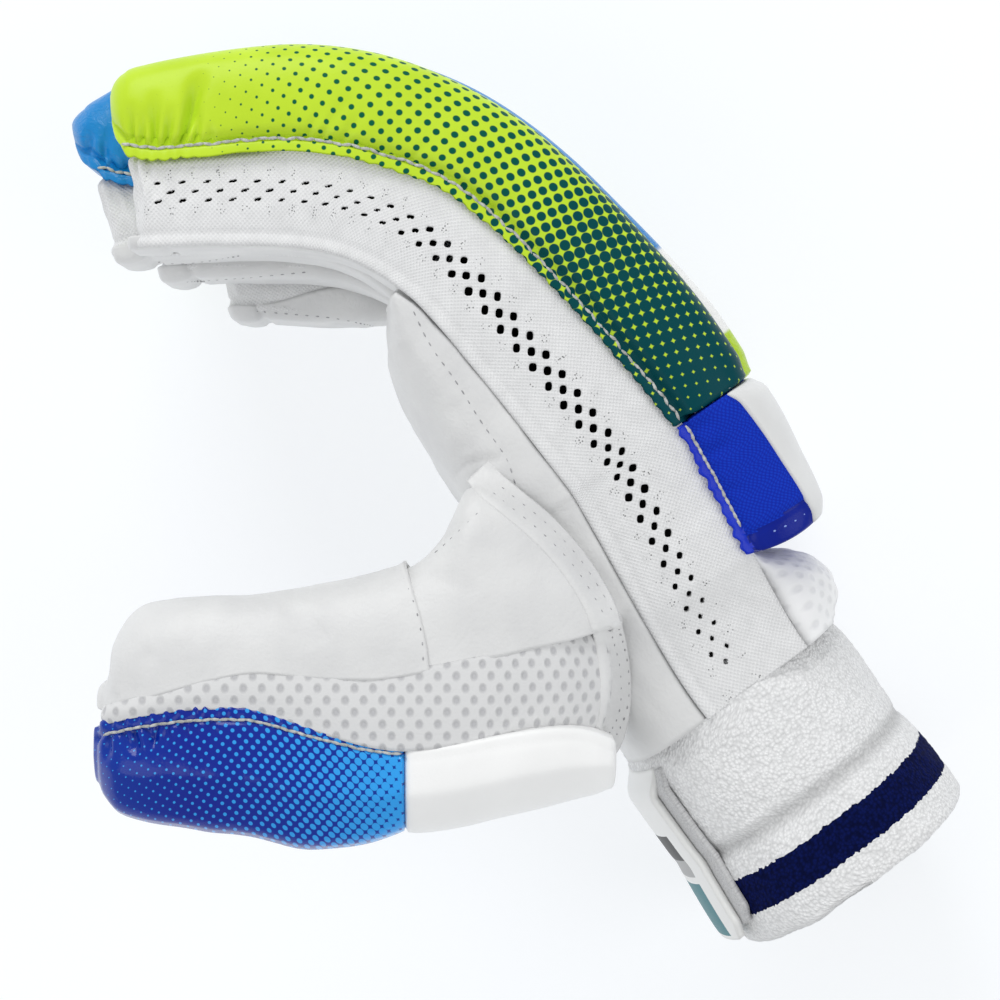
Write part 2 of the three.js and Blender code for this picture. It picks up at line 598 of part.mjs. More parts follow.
// A thumb pad in section: a flat side, a ridge and a sloping lower facet on each side.
function thumbPad(table) {
  const corners = [
    { out: 0.96, down: 0 },
    { out: 1, down: 0.12 },
    { out: 1.03, down: 0.5 },
    { out: 0.97, down: 0.78 },
    { out: 0.78, down: 0.94 },
    { out: 0.45, down: 1 },
  ];
  const [from, to] = [table[0].at, table[table.length - 1].at];
  const shared = THUMB_STATIONS.filter((at) => at > Math.max(0, from) && at < to);
  const along = [from, ...(from < 0 ? [0] : []), ...shared, to];
  const rings = along.map((at) => {
    const half = (THUMB_WIDTH / 2) * column(table, "wide", at);
    const top = column(table, "top", at) * THUMB_PAD_DEPTH;
    const seam = column(THUMB, "seam", at) * THUMB_HEIGHT - GAP + top;
    const side = (sign) => corners.map(({ out, down }) => [
      seam - down * column(table, "deep", at) * THUMB_PAD_DEPTH,
      THUMB_MIDDLE + sign * half * out,
    ]);
    return { at, outline: [...side(1), ...side(-1).reverse()] };
  });
  return loft(rings, onThumb);
}

// The backing across the hand, which swells into a loose puff before the cuff.
function backPanel() {
  const shoulders = [0, 0.04].map((share) => PANEL_EDGE + share * HAND_WIDTH);
  const knots = ARCH.slice(1, -1).map((knot) => knot.at);
  const zs = [...shoulders, ...knots, ...shoulders.map((z) => HAND_WIDTH - z).reverse()];
  const top = (u, z) => {
    const across = Math.abs((2 * z - HAND_WIDTH) / (HAND_WIDTH - 2 * PANEL_EDGE));
    const dome = Math.max(0, 1 - across ** 2.6) ** 0.5;
    const puff = PUFF_HEIGHT * Math.max(0, column(HAND, "puff", u)) * dome;
    return PANEL_TOP + archAt(z, Math.max(0, u)) + puff;
  };
  const puffed = [0.79, 0.815, 0.85, 0.89, 0.94, handEnd];
  const along = [0.01, ...HAND_STATIONS.slice(1), ...PAD_ENDS.map(padShare), ...puffed];
  const rings = along.map((u) => ({
    at: u,
    outline: [
      ...zs.map((z) => [top(u, z), z]),
      ...[...zs].reverse().map((z) => [top(u, z) - PANEL_THICKNESS, z]),
    ],
  }));
  return loft(rings, onHand);
}

// The hand pad's section: a wide rounded box over the backing.
function padArc(inset, from, steps, share) {
  const half = HAND_WIDTH / 2 - ROLL_SIDE - inset;
  const high = PAD_HEIGHT * share - inset;
  const arc = [];
  for (let i = 0; i <= steps; i++) {
    const angle = mix(from, Math.PI - from, i / steps);
    const z = HAND_WIDTH / 2 + half * power(Math.cos(angle), 0.42);
    arc.push([STITCH_LINE + high * power(Math.sin(angle), 0.42), z]);
  }
  return arc;
}

const PAD_ENDS = [
  { at: 0, high: 0.9 },
  { at: 0.08, high: 1 },
  { at: 0.6, high: 1 },
  { at: 0.92, high: 0.97 },
  { at: 1, high: 0.9 },
];

const padShare = (row) => mix(PAD_START, PAD_END, row.at);

function padLoft(outline) {
  const rings = PAD_ENDS.map((row) => ({ at: padShare(row), outline: outline(padShare(row), row.high) }));
  return loft(rings, onHand);
}

const coverAngle = Math.asin((PAD_COVER_LINE / PAD_HEIGHT) ** (1 / 0.42));

function handPad() {
  return padLoft((u, high) => {
    const inner = padArc(PAD_COVER + GAP, coverAngle, 10, high);
    const [left, right] = [ROLL_SIDE, HAND_WIDTH - ROLL_SIDE];
    const line = inner[0][0] - GAP / 2;
    const under = ARCH.slice(1, -1).map((knot) => knot.at);
    const low = (z) => STITCH_LINE + archAt(z, u);
    return [
      [-LIP_DROP, right],
      [line, right],
      ...inner,
      [line, left],
      [-LIP_DROP, left],
      [-LIP_DROP, left + LIP_THICKNESS],
      [low(left), left + LIP_THICKNESS],
      ...under.map((z) => [low(z), z]),
      [low(right), right - LIP_THICKNESS],
      [-LIP_DROP, right - LIP_THICKNESS],
    ];
  });
}

function handPadCover() {
  return padLoft((u, high) => [
    ...padArc(0, coverAngle, 10, high),
    ...padArc(PAD_COVER, coverAngle, 10, high).reverse(),
  ]);
}

// The cuff is a straight tube on from the hand's end.
// Its little-finger side, which the glove lies on, is pressed flat.
function cuffOutline(share, inset) {
  const deep = (CUFF_DEPTH / 2) * column(CUFF, "deep", share) - inset;
  const sideways = inset / WRIST_NARROWING;
  const wide = (HAND_WIDTH / 2 - SIDE_GAP + 1) * column(CUFF, "wide", share) - sideways;
  const pressed = ROLL_SIDE + sideways;
  return stations(0, 2 * Math.PI, CUFF_SIDES).slice(0, -1).map((angle) => {
    const across = (wide + (Math.cos(angle) < -0.2 ? FLATTENING : 0)) * power(Math.cos(angle), 0.8);
    return [CUFF_CENTRE + deep * power(Math.sin(angle), 0.8), Math.max(pressed, HAND_WIDTH / 2 + across)];
  });
}

const cuffShare = (share) => 1 + (share * CUFF_LENGTH) / HAND_LENGTH;

function cuff() {
  const rows = CUFF.map((row) => row.at);
  const ring = (inset) => (at) => ({ at: cuffShare(at), outline: cuffOutline(at, inset) });
  const outer = loft(rows.map(ring(0)), onHand);
  return outer.subtract(loft([-0.05, 0.56, 0.68, 1.05].map(ring(CUFF_WALL)), onHand));
}

// A tab on the cuff's palm side, which follows the cuff's own corners at a distance from it.
function strap(lift, thickness, from, to, reach) {
  const bottom = (CUFF_SIDES * 3) / 4;
  const whole = Math.floor(reach);
  const corners = stations(-whole, whole, 2 * whole);
  const across = [-reach, ...corners, reach];
  const arc = (share, out) => {
    const ring = cuffOutline(share, -out);
    return across.map((k) => {
      const low = Math.floor(bottom + k);
      const t = bottom + k - low;
      return [mix(ring[low][0], ring[low + 1][0], t), mix(ring[low][1], ring[low + 1][1], t)];
    });
  };
  const rows = [from, ...CUFF.map((row) => row.at).filter((at) => at > from && at < to), to];
  const rings = rows.map((share) => ({
    at: cuffShare(share),
    outline: [...arc(share, lift + thickness), ...arc(share, lift).reverse()],
  }));
  return loft(rings, onHand);
}

const innerWall = (finger) => middleOf(finger) - (FINGER_PITCH / 2 - SIDE_GAP - GUSSET_THICKNESS) + 0.6;

for (const finger of FINGERS) {
  add(`${finger.name}_roll`, roll(finger), MATERIALS[ROLL_COLOURS[finger.name]]);
}
for (const finger of FINGERS) {
  const seam = innerWall(finger);
  const thumbSide = sideWalls(finger, finger.slot === 3 ? handEnd : CROTCH);
  const littleSide = sideWalls(finger, finger.slot === 0 ? handEnd : CROTCH);
  const upper = thumbSide.intersect(slab(seam, FAR));
  const solid = finger.slot === 3 ? upper.subtract(perforations(finger)) : upper;
  add(finger.slot === 3 ? "index_side_panel" : `${finger.name}_gusset_thumbward`, solid, MATERIALS.knit);
  const lower = littleSide.intersect(slab(-FAR, seam - GAP));
  add(finger.slot === 0 ? "little_side_panel" : `${finger.name}_gusset_littleward`, lower, MATERIALS.knit);
}

const shellBack = palmSolid(0, 0).subtract(palmSolidHollow());
const palm = wasm.Manifold.union([shellBack, ...FINGERS.map(fingerLeather)]).subtract(thumbHollow());
add("palm_leather", palm, MATERIALS.leather);

function palmSolidHollow() {
  const ends = [CROTCH + LEATHER / INDEX_LENGTH, ...PALM_STATIONS.slice(1, -1), 1.02];
  return loft(ends.map((u) => ({ at: u, outline: palmOutline(u, LEATHER, 8) })), onHand);
}

const thumbCut = palmSolid(GAP, 8);
add("thumb_leather", thumbShell(0, THUMB_JOINT), MATERIALS.leather);
const thumbBase = thumbShell(THUMB_JOINT + END_GAP / THUMB_LENGTH, 1).subtract(thumbCut);
add("thumb_base_leather", thumbBase, MATERIALS.leather);
add("thumb_mesh", thumbMesh().subtract(thumbCut), MATERIALS.knit);
add("thumb_pad", thumbPad(THUMB_PAD).subtract(thumbCut), MATERIALS.thumb_blue);
add("thumb_guard", thumbPad(THUMB_GUARD).subtract(thumbCut), MATERIALS.white_cover);
add("back_panel", backPanel(), MATERIALS.knit);
add("hand_pad", handPad(), MATERIALS.royal);
add("hand_pad_cover", handPadCover(), MATERIALS.white_cover);
add("cuff", cuff(), MATERIALS.terry);
const strapEnd = STRAP_START + STRAP_LENGTH / CUFF_LENGTH;
const backing = strap(GAP, STRAP_BACKING, STRAP_START, strapEnd - 0.06, BACKING_REACH);
const tab = strap(2 * GAP + STRAP_BACKING, STRAP_THICKNESS, STRAP_START, strapEnd, STRAP_REACH);
add("strap_backing", backing, MATERIALS.hook_felt);
add("wrist_strap", tab, MATERIALS.strap);

// The origin is the middle of the box's foot.
glove.updateMatrixWorld(true);
const bounds = new THREE.Box3().setFromObject(glove);
const middle = bounds.getCenter(new THREE.Vector3());
glove.position.set(-middle.x, -middle.y, -bounds.min.z);

export default glove;
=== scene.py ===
# A right-hand cricket batting glove, lying on its little-finger side.
# The shape functions work in millimetres and degrees, in the glove's own frame.
# OFFSET puts them in the part's.
import math
import random

import bmesh
import bpy
from mathutils import Matrix, Vector, noise
from mathutils.bvhtree import BVHTree


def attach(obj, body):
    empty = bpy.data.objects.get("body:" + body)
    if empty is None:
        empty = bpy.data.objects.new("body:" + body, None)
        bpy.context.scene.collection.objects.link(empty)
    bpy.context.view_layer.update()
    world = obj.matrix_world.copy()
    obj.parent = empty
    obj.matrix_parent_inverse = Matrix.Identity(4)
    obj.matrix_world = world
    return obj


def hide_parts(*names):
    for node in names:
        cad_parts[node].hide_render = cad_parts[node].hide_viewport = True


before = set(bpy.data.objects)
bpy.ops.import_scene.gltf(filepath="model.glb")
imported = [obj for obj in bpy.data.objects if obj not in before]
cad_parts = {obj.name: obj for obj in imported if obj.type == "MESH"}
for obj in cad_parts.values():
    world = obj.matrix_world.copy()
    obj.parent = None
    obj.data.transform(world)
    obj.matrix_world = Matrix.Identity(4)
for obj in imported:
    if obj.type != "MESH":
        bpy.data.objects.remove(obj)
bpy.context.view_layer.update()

# Sizes that the padding, panels and leather share with the part's solids.
OFFSET = Vector((-4.4135, 61.7478, -0.336))
INDEX_LENGTH = 94
HAND_LENGTH = 123
FINGER_PITCH = 27
HAND_WIDTH = 4 * FINGER_PITCH
HAND_MIDDLE = HAND_WIDTH / 2
ROLL_WIDTH = 26.2
ROLL_HEIGHT = 22
STITCH_LINE = 2.5
LIP_DROP = 0.5
GUSSET_DEPTH = 25
GUSSET_THICKNESS = 1.5
GUSSET_BULGE = 1
GUSSET_TOP = 2
HOLE_PITCH = 6
HOLE_ROW_SPACING = 2.15
HOLE_COLUMNS = 35
FIRST_HOLE = 8
CROTCH_SLACK = 1
PALM_DEPTH = 50
PUFF_HEIGHT = 17
PAD_HEIGHT = 23
PAD_COVER_LINE = 13.5
CUFF_LENGTH = 54.5
CUFF_WALL = 3
CUFF_DEPTH = 63
CUFF_CENTRE = -18.5
FLATTENING = 2
WRIST_NARROWING = 0.84
STRAP_LENGTH = 48
STRAP_START = 0.03
THUMB_LENGTH = 120
THUMB_HEIGHT = 30
THUMB_WIDTH = 36
THUMB_TIP = (-91.5, -113)
THUMB_MIDDLE = 102
THUMB_PAD_DEPTH = 27
SIDE_GAP = FINGER_PITCH / 2 - 11.4
ROLL_SIDE = (FINGER_PITCH - ROLL_WIDTH) / 2
CROTCH = -0.12
ROLL_END = 0.492
PAD_START = 0.499
PAD_END = 0.775
HAND_END = 0.997


def rows(names, *values):
    """A table as a list of rows with named columns."""
    return [dict(zip(names.split(), row)) for row in values]


HEADING = rows(
    "at turn", (-1, 5), (-0.65, 0), (-0.51, -6), (-0.37, -18), (-0.23, -29), (-0.11, -37), (0, -42.5),
    (0.32, -49), (0.46, -52), (0.54, -60), (0.88, -60), (1, -54),
)
LITTLE, RING, MIDDLE, INDEX = FINGERS = rows(
    "name slot long curl lift tip_depth sag tip heel droop back",
    ("little", 0, 0.86, 14, -2, 0.76, 0.26, 5, 0, 0.5, 0),
    ("ring", 1, 1.05, 8, 3, 0.84, 0.1, 5, 0, 0.5, 0),
    ("middle", 2, 1.14, 7, 4, 0.86, 0.04, 5.2, 0.1, 1.9, -1.2),
    ("index", 3, 1, 0, 0, 0.93, 0.02, 2.8, 0, 1, 1.3),
)
HAND = rows(
    "at side palm puff narrow holes roll",
    (-0.12, 1, 0.61, 0, 1, 0.47, 1), (-0.05, 1, 0.74, 0, 1, 0.49, 1), (0.05, 1.03, 0.87, 0, 1, 0.5, 1),
    (0.14, 1.07, 0.94, 0, 0.99, 0.52, 1), (0.34, 1.13, 1.02, 0, 0.97, 0.53, 0.98),
    (0.49, 1.15, 1.02, 0, 0.95, 0.54, 0.92), (0.6, 1.15, 1.01, 0, 0.93, 0.54, 0.9),
    (0.775, 1.14, 1, 0, 0.9, 0.56, 0.8), (0.84, 1.13, 0.99, 0.7, 0.87, 0.57, 0.8),
    (0.92, 1.12, 0.98, 1, 0.85, 0.58, 0.8), (1, 1.1, 0.985, 0.72, WRIST_NARROWING, 0.58, 0.8),
)
ROLL_TIP = rows(
    "at high wide", (0, 0.4, 0.6), (0.06, 0.6, 0.78), (0.2, 0.75, 0.9), (0.42, 0.81, 0.96),
    (0.95, 0.89, 0.99), (1.8, 0.98, 1), (2.6, 1, 1),
)
# How far the stitch line of the index finger's roll hangs down, by the distance from its tip.
DROOP = rows(
    "at hang", (0, 1.5), (3, 2.2), (8, 3.3), (15, 3.2), (23, 2.9), (31, 2.3), (40, 1.9), (54, 1.9), (63, 1.5),
    (77, 0),
)
SIDE_CURVE = rows("at out", (0, 0), (0.25, 0.3), (0.62, 1), (1, 0.4))
THUMB = rows(
    "at front mesh seam near far",
    (0, 0.3, 0.1, 0, 0.5, 0.5), (0.02, 0.64, 0.13, 0.02, 0.74, 0.74), (0.06, 0.86, 0.17, 0.06, 0.9, 0.9),
    (0.12, 0.93, 0.24, 0.1, 0.97, 0.95), (0.19, 0.95, 0.32, 0.13, 1, 0.97), (0.29, 0.97, 0.4, 0.12, 1, 0.98),
    (0.4, 1.03, 0.36, -0.02, 1, 1), (0.5, 1.1, 0.35, -0.14, 1, 1), (0.56, 1.16, 0.38, -0.18, 1, 1),
    (0.6, 1.22, 0.41, -0.18, 1, 1), (0.65, 1.42, 0.44, -0.16, 1, 1.05), (0.7, 1.8, 0.48, -0.13, 0.98, 1.1),
    (0.76, 1.78, 0.52, -0.08, 0.93, 1.1), (0.83, 1.6, 0.58, -0.04, 0.8, 1.1),
    (0.9, 1.32, 0.64, -0.02, 0.62, 1.1), (0.96, 0.98, 0.7, -0.04, 0.36, 1.1),
    (1, 0.8, 0.72, -0.08, 0.16, 1.1),
)
THUMB_PAD = rows(
    "at deep wide top", (-0.012, 0.52, 0.5, -0.04), (0, 0.66, 0.68, 0), (0.03, 0.83, 0.86, 0),
    (0.08, 0.95, 0.96, 0), (0.14, 1.03, 1, 0), (0.22, 1.11, 1.03, 0), (0.36, 1.12, 1.03, 0),
    (0.46, 0.98, 1.02, 0), (0.578, 0.74, 1, 0),
)
THUMB_GUARD = rows(
    "at deep wide top", (0.586, 0.75, 0.97, 0), (0.6, 0.76, 1, 0), (0.68, 0.76, 1.02, 0),
    (0.78, 0.74, 1.02, 0), (0.87, 0.69, 0.98, 0), (0.94, 0.58, 0.9, -0.03), (0.978, 0.44, 0.78, -0.08),
)
THUMB_SECTION = rows(
    "at out", (0, 0.96), (0.12, 1), (0.48, 1.05), (0.6, 1.0), (0.8, 0.86), (0.94, 0.68), (1, 0.42)
)
PAD_ENDS = rows("at high", (0, 0.9), (0.08, 1), (0.6, 1), (0.92, 0.97), (1, 0.9))
CUFF = rows(
    "at deep wide", (0, 0.985, 1), (0.12, 1.015, 1.01), (0.46, 1.02, 1.01), (0.53, 1.015, 1.005),
    (0.6, 1.03, 1.01), (0.86, 1.07, 1.01), (0.97, 1.06, 1.01), (1, 1.03, 0.995),
)


def column(table, key, at):
    """A table's column at any place between its rows, on a smooth curve through them."""
    last = len(table) - 1
    if at <= table[0]["at"]:
        return table[0][key]
    if at >= table[last]["at"]:
        return table[last][key]
    i = next(k for k in range(last) if table[k + 1]["at"] >= at)

    def slope(k):
        a, b = table[max(0, k - 1)], table[min(last, k + 1)]
        return (b[key] - a[key]) / (b["at"] - a["at"])

    span = table[i + 1]["at"] - table[i]["at"]
    t = (at - table[i]["at"]) / span
    p, q = table[i][key], table[i + 1][key]
    bow = slope(i) * t * (1 - t) ** 2 - slope(i + 1) * t * t * (1 - t)
    return p + (q - p) * t * t * (3 - 2 * t) + span * bow


def power(value, exponent):
    return math.copysign(abs(value) ** exponent, value)


def mix(a, b, t):
    return a + (b - a) * t


def ease(low, high, value):
    """0 below low, 1 above high, with a soft start and end."""
    t = min(1, max(0, (value - low) / (high - low)))
    return t * t * (3 - 2 * t)


def bell(value, middle, width):
    """1 at the middle, falling off smoothly to both sides."""
    return math.exp(-(((value - middle) / width) ** 2))


def metres(point):
    return (Vector(point) + OFFSET) / 1000


def spine_of(length, curl, lift):
    """The back seam's curve for one finger and the hand behind it: share to (x, y, angle)."""
    steps = 400

    def heading(u):
        return math.radians(column(HEADING, "turn", u) - curl * min(0, u))

    def walk(sign, reach, start):
        line = [start]
        for i in range(steps):
            angle = heading(sign * (i + 0.5) / steps)
            step = sign * reach / steps
            line.append((line[i][0] + math.cos(angle) * step, line[i][1] + math.sin(angle) * step))
        return line

    knuckle = heading(0)
    finger = walk(-1, length, (-math.sin(knuckle) * lift, math.cos(knuckle) * lift))
    hand = walk(1, HAND_LENGTH, (0, 0))

    def at(u):
        line, reach = (finger, length) if u < 0 else (hand, HAND_LENGTH)
        share = abs(u)
        angle = heading(max(-1, min(1, u)))
        i = min(steps - 1, int(share * steps))
        t = min(1, share * steps - i)
        past = max(0, share - 1) * reach * math.copysign(1, u)
        x = mix(line[i][0], line[i + 1][0], t) + math.cos(angle) * past
        y = mix(line[i][1], line[i + 1][1], t) + math.sin(angle) * past
        return x, y, angle

    return at


def narrow_at(u):
    return column(HAND, "narrow", u)


def lifted(lift, u):
    return 0 if u < 0 else lift * max(0, 1 - u)


def placer(finger):
    """Share along the finger and hand, height over the back seam and place across, to a point."""
    spine = spine_of(finger["long"] * INDEX_LENGTH, finger["curl"], finger["lift"])

    def place(u, n, z):
        x, y, angle = spine(u)
        out = n + lifted(finger["lift"], u)
        return x - math.sin(angle) * out, y + math.cos(angle) * out, z * narrow_at(u)

    return place


on_hand = placer({"long": 1, "curl": 0, "lift": 0})
PLACE = {finger["name"]: placer(finger) for finger in FINGERS}


def middle_of(finger):
    return (finger["slot"] + 0.5) * FINGER_PITCH


def length_of(finger):
    return finger["long"] * INDEX_LENGTH


ARCH_SLOPE = FINGER_PITCH / 14
ARCH = [
    (f["slot"] * FINGER_PITCH + edge, f["lift"])
    for f in FINGERS
    for edge in (ARCH_SLOPE, FINGER_PITCH - ARCH_SLOPE)
]


def arch_at(z, u):
    """Height of the backing across the hand."""
    if z <= ARCH[0][0]:
        return lifted(ARCH[0][1], u)
    for (za, a), (zb, b) in zip(ARCH, ARCH[1:]):
        if z <= zb:
            return lifted(mix(a, b, (z - za) / (zb - za)), u)
    return lifted(ARCH[-1][1], u)


def side_depth(finger, u):
    if u >= CROTCH:
        lift = finger["lift"] if u < 0 else lifted(finger["lift"], u)
        return GUSSET_DEPTH * column(HAND, "side", u) + lift
    t = min(1, (CROTCH - u) / (1 + CROTCH))
    sag = GUSSET_DEPTH * finger["sag"] * math.sin(math.pi * t)
    return mix(GUSSET_DEPTH + finger["lift"], GUSSET_DEPTH * finger["tip_depth"], t**0.8) + sag


def share_at(finger, d):
    """Share along a finger and the hand for a distance from the fingertip."""
    length = length_of(finger)
    return d / length - 1 if d < length else (d - length) / HAND_LENGTH


def even(points, count):
    """The same line as count equal steps."""
    reach = [0]
    for a, b in zip(points, points[1:]):
        reach.append(reach[-1] + math.dist(a, b))
    out, k = [], 0
    for i in range(count + 1):
        goal = reach[-1] * i / count
        while k < len(points) - 2 and reach[k + 1] < goal:
            k += 1
        span = reach[k + 1] - reach[k] or 1
        out.append(tuple(mix(p, q, (goal - reach[k]) / span) for p, q in zip(points[k], points[k + 1])))
    return out, reach[-1]


# How pieces are made.
SHAPES = {}


def skin(name, columns, lines, surface):
    """A cloth or leather surface: a grid whose corner (i, j) goes to surface(i, j). That gives the place, the
    distances along and across for the UV map in millimetres, and how far out from the surface it stands."""
    bm = bmesh.new()
    bmesh.ops.create_grid(bm, x_segments=columns, y_segments=lines, size=0.5)
    cloth = bm.loops.layers.uv.new("cloth")
    spots = {}
    for v in bm.verts:
        spots[v] = surface(round((v.co.x + 0.5) * columns), round((v.co.y + 0.5) * lines))
    for face in bm.faces:
        for loop in face.loops:
            loop[cloth].uv = spots[loop.vert][1:3]
        face.smooth = True
    for v, spot in spots.items():
        v.co = metres(spot[0])
    bmesh.ops.remove_doubles(bm, verts=bm.verts, dist=1e-7)
    face_out(bm)
    bm.normal_update()
    for v in bm.verts:
        v.co += v.normal * spots[v][3] / 1000
    bm.normal_update()
    return bm


def face_out(bm):
    """Turns every face so that the surface faces away from its own middle."""
    bm.normal_update()
    middle = sum((v.co for v in bm.verts), Vector()) / len(bm.verts)
    if sum(f.normal.dot(f.calc_center_median() - middle) * f.calc_area() for f in bm.faces) < 0:
        bmesh.ops.reverse_faces(bm, faces=bm.faces)


def linked(name, data):
    """A new object in the scene."""
    made = bpy.data.objects.new(name, data)
    bpy.context.scene.collection.objects.link(made)
    return made


def finished(name, bm, materials, nodes=(), wall=0):
    """A piece of the glove from a bmesh: in the part's frame, on its body, standing for the named solids.
    A wall has the last material on its inside."""
    mesh = bpy.data.meshes.new(name)
    bm.to_mesh(mesh)
    SHAPES[name] = BVHTree.FromBMesh(bm)
    bm.free()
    for material in materials:
        mesh.materials.append(material)
    piece = linked(name, mesh)
    if wall:
        solid = piece.modifiers.new("wall", "SOLIDIFY")
        solid.thickness = wall / 1000
        solid.offset = -1
        solid.material_offset = len(materials) - 1
    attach(piece, "root")
    if nodes:
        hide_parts(*nodes)
    return piece


def stitches(name, seats, length, radius, material, sink=0.35):
    """A row of thread stitches: each seat is a place, the direction of the row and the surface's normal."""
    bm = bmesh.new()
    for place, along, up in seats:
        across = along.cross(up).normalized()
        along = up.cross(across).normalized()
        turn = Matrix((along, across, up)).transposed().to_4x4()
        size = Matrix.Diagonal((length / 2000, radius / 1000, radius / 1000, 1))
        seat = Matrix.Translation(place - up * radius * sink / 1000)
        bmesh.ops.create_icosphere(bm, subdivisions=1, radius=1, matrix=seat @ turn @ size)
    for face in bm.faces:
        face.smooth = True
    return finished(name, bm, [material])


def cord(name, seats, radius):
    """A twisted cord: long stitches that overlap and stand on the surface."""
    stitches(name, seats, 2.9, radius, GREY_THREAD, 0.1)


def seats_on(line, normal, pitch, sway=0, seed=1):
    """Seats every pitch along a line of places in metres. sway turns every other stitch a little."""
    rng = random.Random(seed)
    reach = sum((b - a).length for a, b in zip(line, line[1:]))
    count = max(2, round(reach * 1000 / pitch))
    spots, _ = even([tuple(p) for p in line], count)
    out = []
    for k in range(count):
        a, b = Vector(spots[k]), Vector(spots[k + 1])
        up = normal((a + b) / 2, k / count)
        along = (b - a).normalized()
        side = along.cross(up)
        out.append(((a + b) / 2, along + side * sway * (1 if k % 2 else -1) * rng.uniform(0.5, 1.2), up))
    return out


def side_seats(line, side, pitch, sway, seed):
    """Seats along a seam that faces up, where side is 1, or down."""
    return seats_on(line, lambda _, share: Vector((0, 0, side)), pitch, sway, seed)


EYE = (0, -62, 710)  # the photograph's viewpoint
FOCUS = 2600  # its focal length and the picture's middle, in points of the picture
CENTRE = 500


def seen(px, py, names):
    """Where the line of sight through a place in the picture first meets the named pieces: its place and
    normal, or None where it meets none."""
    start = metres(EYE)
    way = Vector(((px - CENTRE) / FOCUS, (CENTRE - py) / FOCUS, -1)).normalized()
    hits = [SHAPES[n].ray_cast(start, way) for n in names]
    hits = [h for h in hits if h[0] is not None]
    if not hits:
        return None
    place, normal, _, _ = min(hits, key=lambda h: h[3])
    return place, normal if normal.z > 0 else -normal


def curved(line):
    """A smooth line through the given places."""
    parts = 5
    ends = [line[0], *line, line[-1]]
    out = []
    for p, q, r, s in zip(ends, ends[1:], ends[2:], ends[3:]):
        for k in range(parts):
            t = k / parts
            spot = []
            for a, b, c, d in zip(p, q, r, s):
                bend = (2 * a - 5 * b + 4 * c - d) * t * t + (3 * b - a - 3 * c + d) * t**3
                spot.append(b + 0.5 * ((c - a) * t + bend))
            out.append(tuple(spot))
    return [*out, tuple(line[-1])]


def pictured(point):
    """Where a place of the glove's own frame lies in the picture."""
    reach = FOCUS / (EYE[2] - point[2])
    return CENTRE + (point[0] - EYE[0]) * reach, CENTRE - (point[1] - EYE[1]) * reach


def placed(px, py, z):
    """The place at height z in the glove's own frame that lies at a place in the picture."""
    reach = (EYE[2] - z) / FOCUS
    return EYE[0] + (px - CENTRE) * reach, EYE[1] + (CENTRE - py) * reach, z


def off_line(px, py, line):
    """Distance in the picture from a line, positive on its right-hand side, and the share along it."""
    best, reach = None, 0
    for (ax, ay), (bx, by) in zip(line, line[1:]):
        wx, wy = bx - ax, by - ay
        span = math.hypot(wx, wy)
        held = min(1, max(0, ((px - ax) * wx + (py - ay) * wy) / span**2))
        away = math.hypot(px - ax - wx * held, py - ay - wy * held)
        if best is None or away < best[0]:
            best = away, wx * (py - ay) - wy * (px - ax), reach + span * held
        reach += span
    return math.copysign(best[0], best[1]), best[2] / reach


def creased(point, lines):
    """How far in a surface lies for the creases and grooves drawn in the picture."""
    px, py = pictured(point)
    inwards = 0
    for line, depth, width in lines:
        away, share = off_line(px, py, line)
        if abs(away) < 3 * width:
            inwards += depth * bell(away, 0, width) * (1 - abs(2 * share - 1) ** 6)
    return -inwards


def seam_line(picture, names):
    """Seats of a line drawn in the picture, found on the named pieces: two lists, places and normals."""
    picture = curved(picture)
    reach = sum(math.dist(a, b) for a, b in zip(picture, picture[1:]))
    spots, _ = even(picture, max(2, round(reach / 4)))
    found = [spot for spot in (seen(px, py, names) for px, py in spots) if spot]
    return [f[0] for f in found], [f[1] for f in found]


def sewn(name, picture, names, material, slot, pitch, length, radius):
    """A row of stitches along a line drawn in the picture."""
    places, normals = seam_line(picture, names)

    def normal(_, share):
        return normals[min(len(normals) - 1, int(share * len(normals)))]

    return stitches(name, seats_on(places, normal, pitch), length, radius, material)


def level_of(spot, names):
    """Height of the named pieces at a place in the picture, or of the thumb's middle where there are none."""
    found = seen(*spot, names)
    return (found[0] * 1000 - OFFSET).z if found else THUMB_MIDDLE


def strip(name, picture, names, material, width, high):
    """A raised strip of leather along a line drawn in the picture, width points to its right-hand side."""
    line, _ = even(curved(picture), 120)
    last, lines = len(line) - 1, 16
    spots, levels = [], []
    for i, (px, py) in enumerate(line):
        (ax, ay), (bx, by) = line[max(0, i - 1)], line[min(last, i + 1)]
        span = math.hypot(bx - ax, by - ay)
        out = (ay - by) / span * width / lines, (bx - ax) / span * width / lines
        row = [(px + out[0] * j, py + out[1] * j) for j in range(lines + 1)]
        spots.append(row)
        levels.append([level_of(spot, names) for spot in row])

    def blurred(grid, join):
        def around(i, j):
            above, below = grid[max(0, i - 1)], grid[min(last, i + 1)]
            return above[j], below[j], grid[i][max(0, j - 1)], grid[i][min(lines, j + 1)]

        return [[join(around(i, j)) for j in range(lines + 1)] for i in range(last + 1)]

    soft = levels
    for _ in range(2):
        soft = blurred(soft, max)
    for _ in range(45):
        soft = blurred(soft, lambda near: sum(near) / 4)

    def surface(i, j):
        t = j / lines
        rise = high * min(1, 5 * t) * (1 - max(0, 2 * t - 1) ** 2) * (1 - abs(2 * i / last - 1) ** 12)
        z = max(soft[i][j], levels[i][j]) + rise
        return placed(*spots[i][j], z), i * 0.7, t * width * 0.24, 0

    bm = skin(name, last, lines, surface)
    if sum(face.normal.z for face in bm.faces) < 0:
        bmesh.ops.reverse_faces(bm, faces=bm.faces)
    return finished(name, bm, [material], wall=0.8)


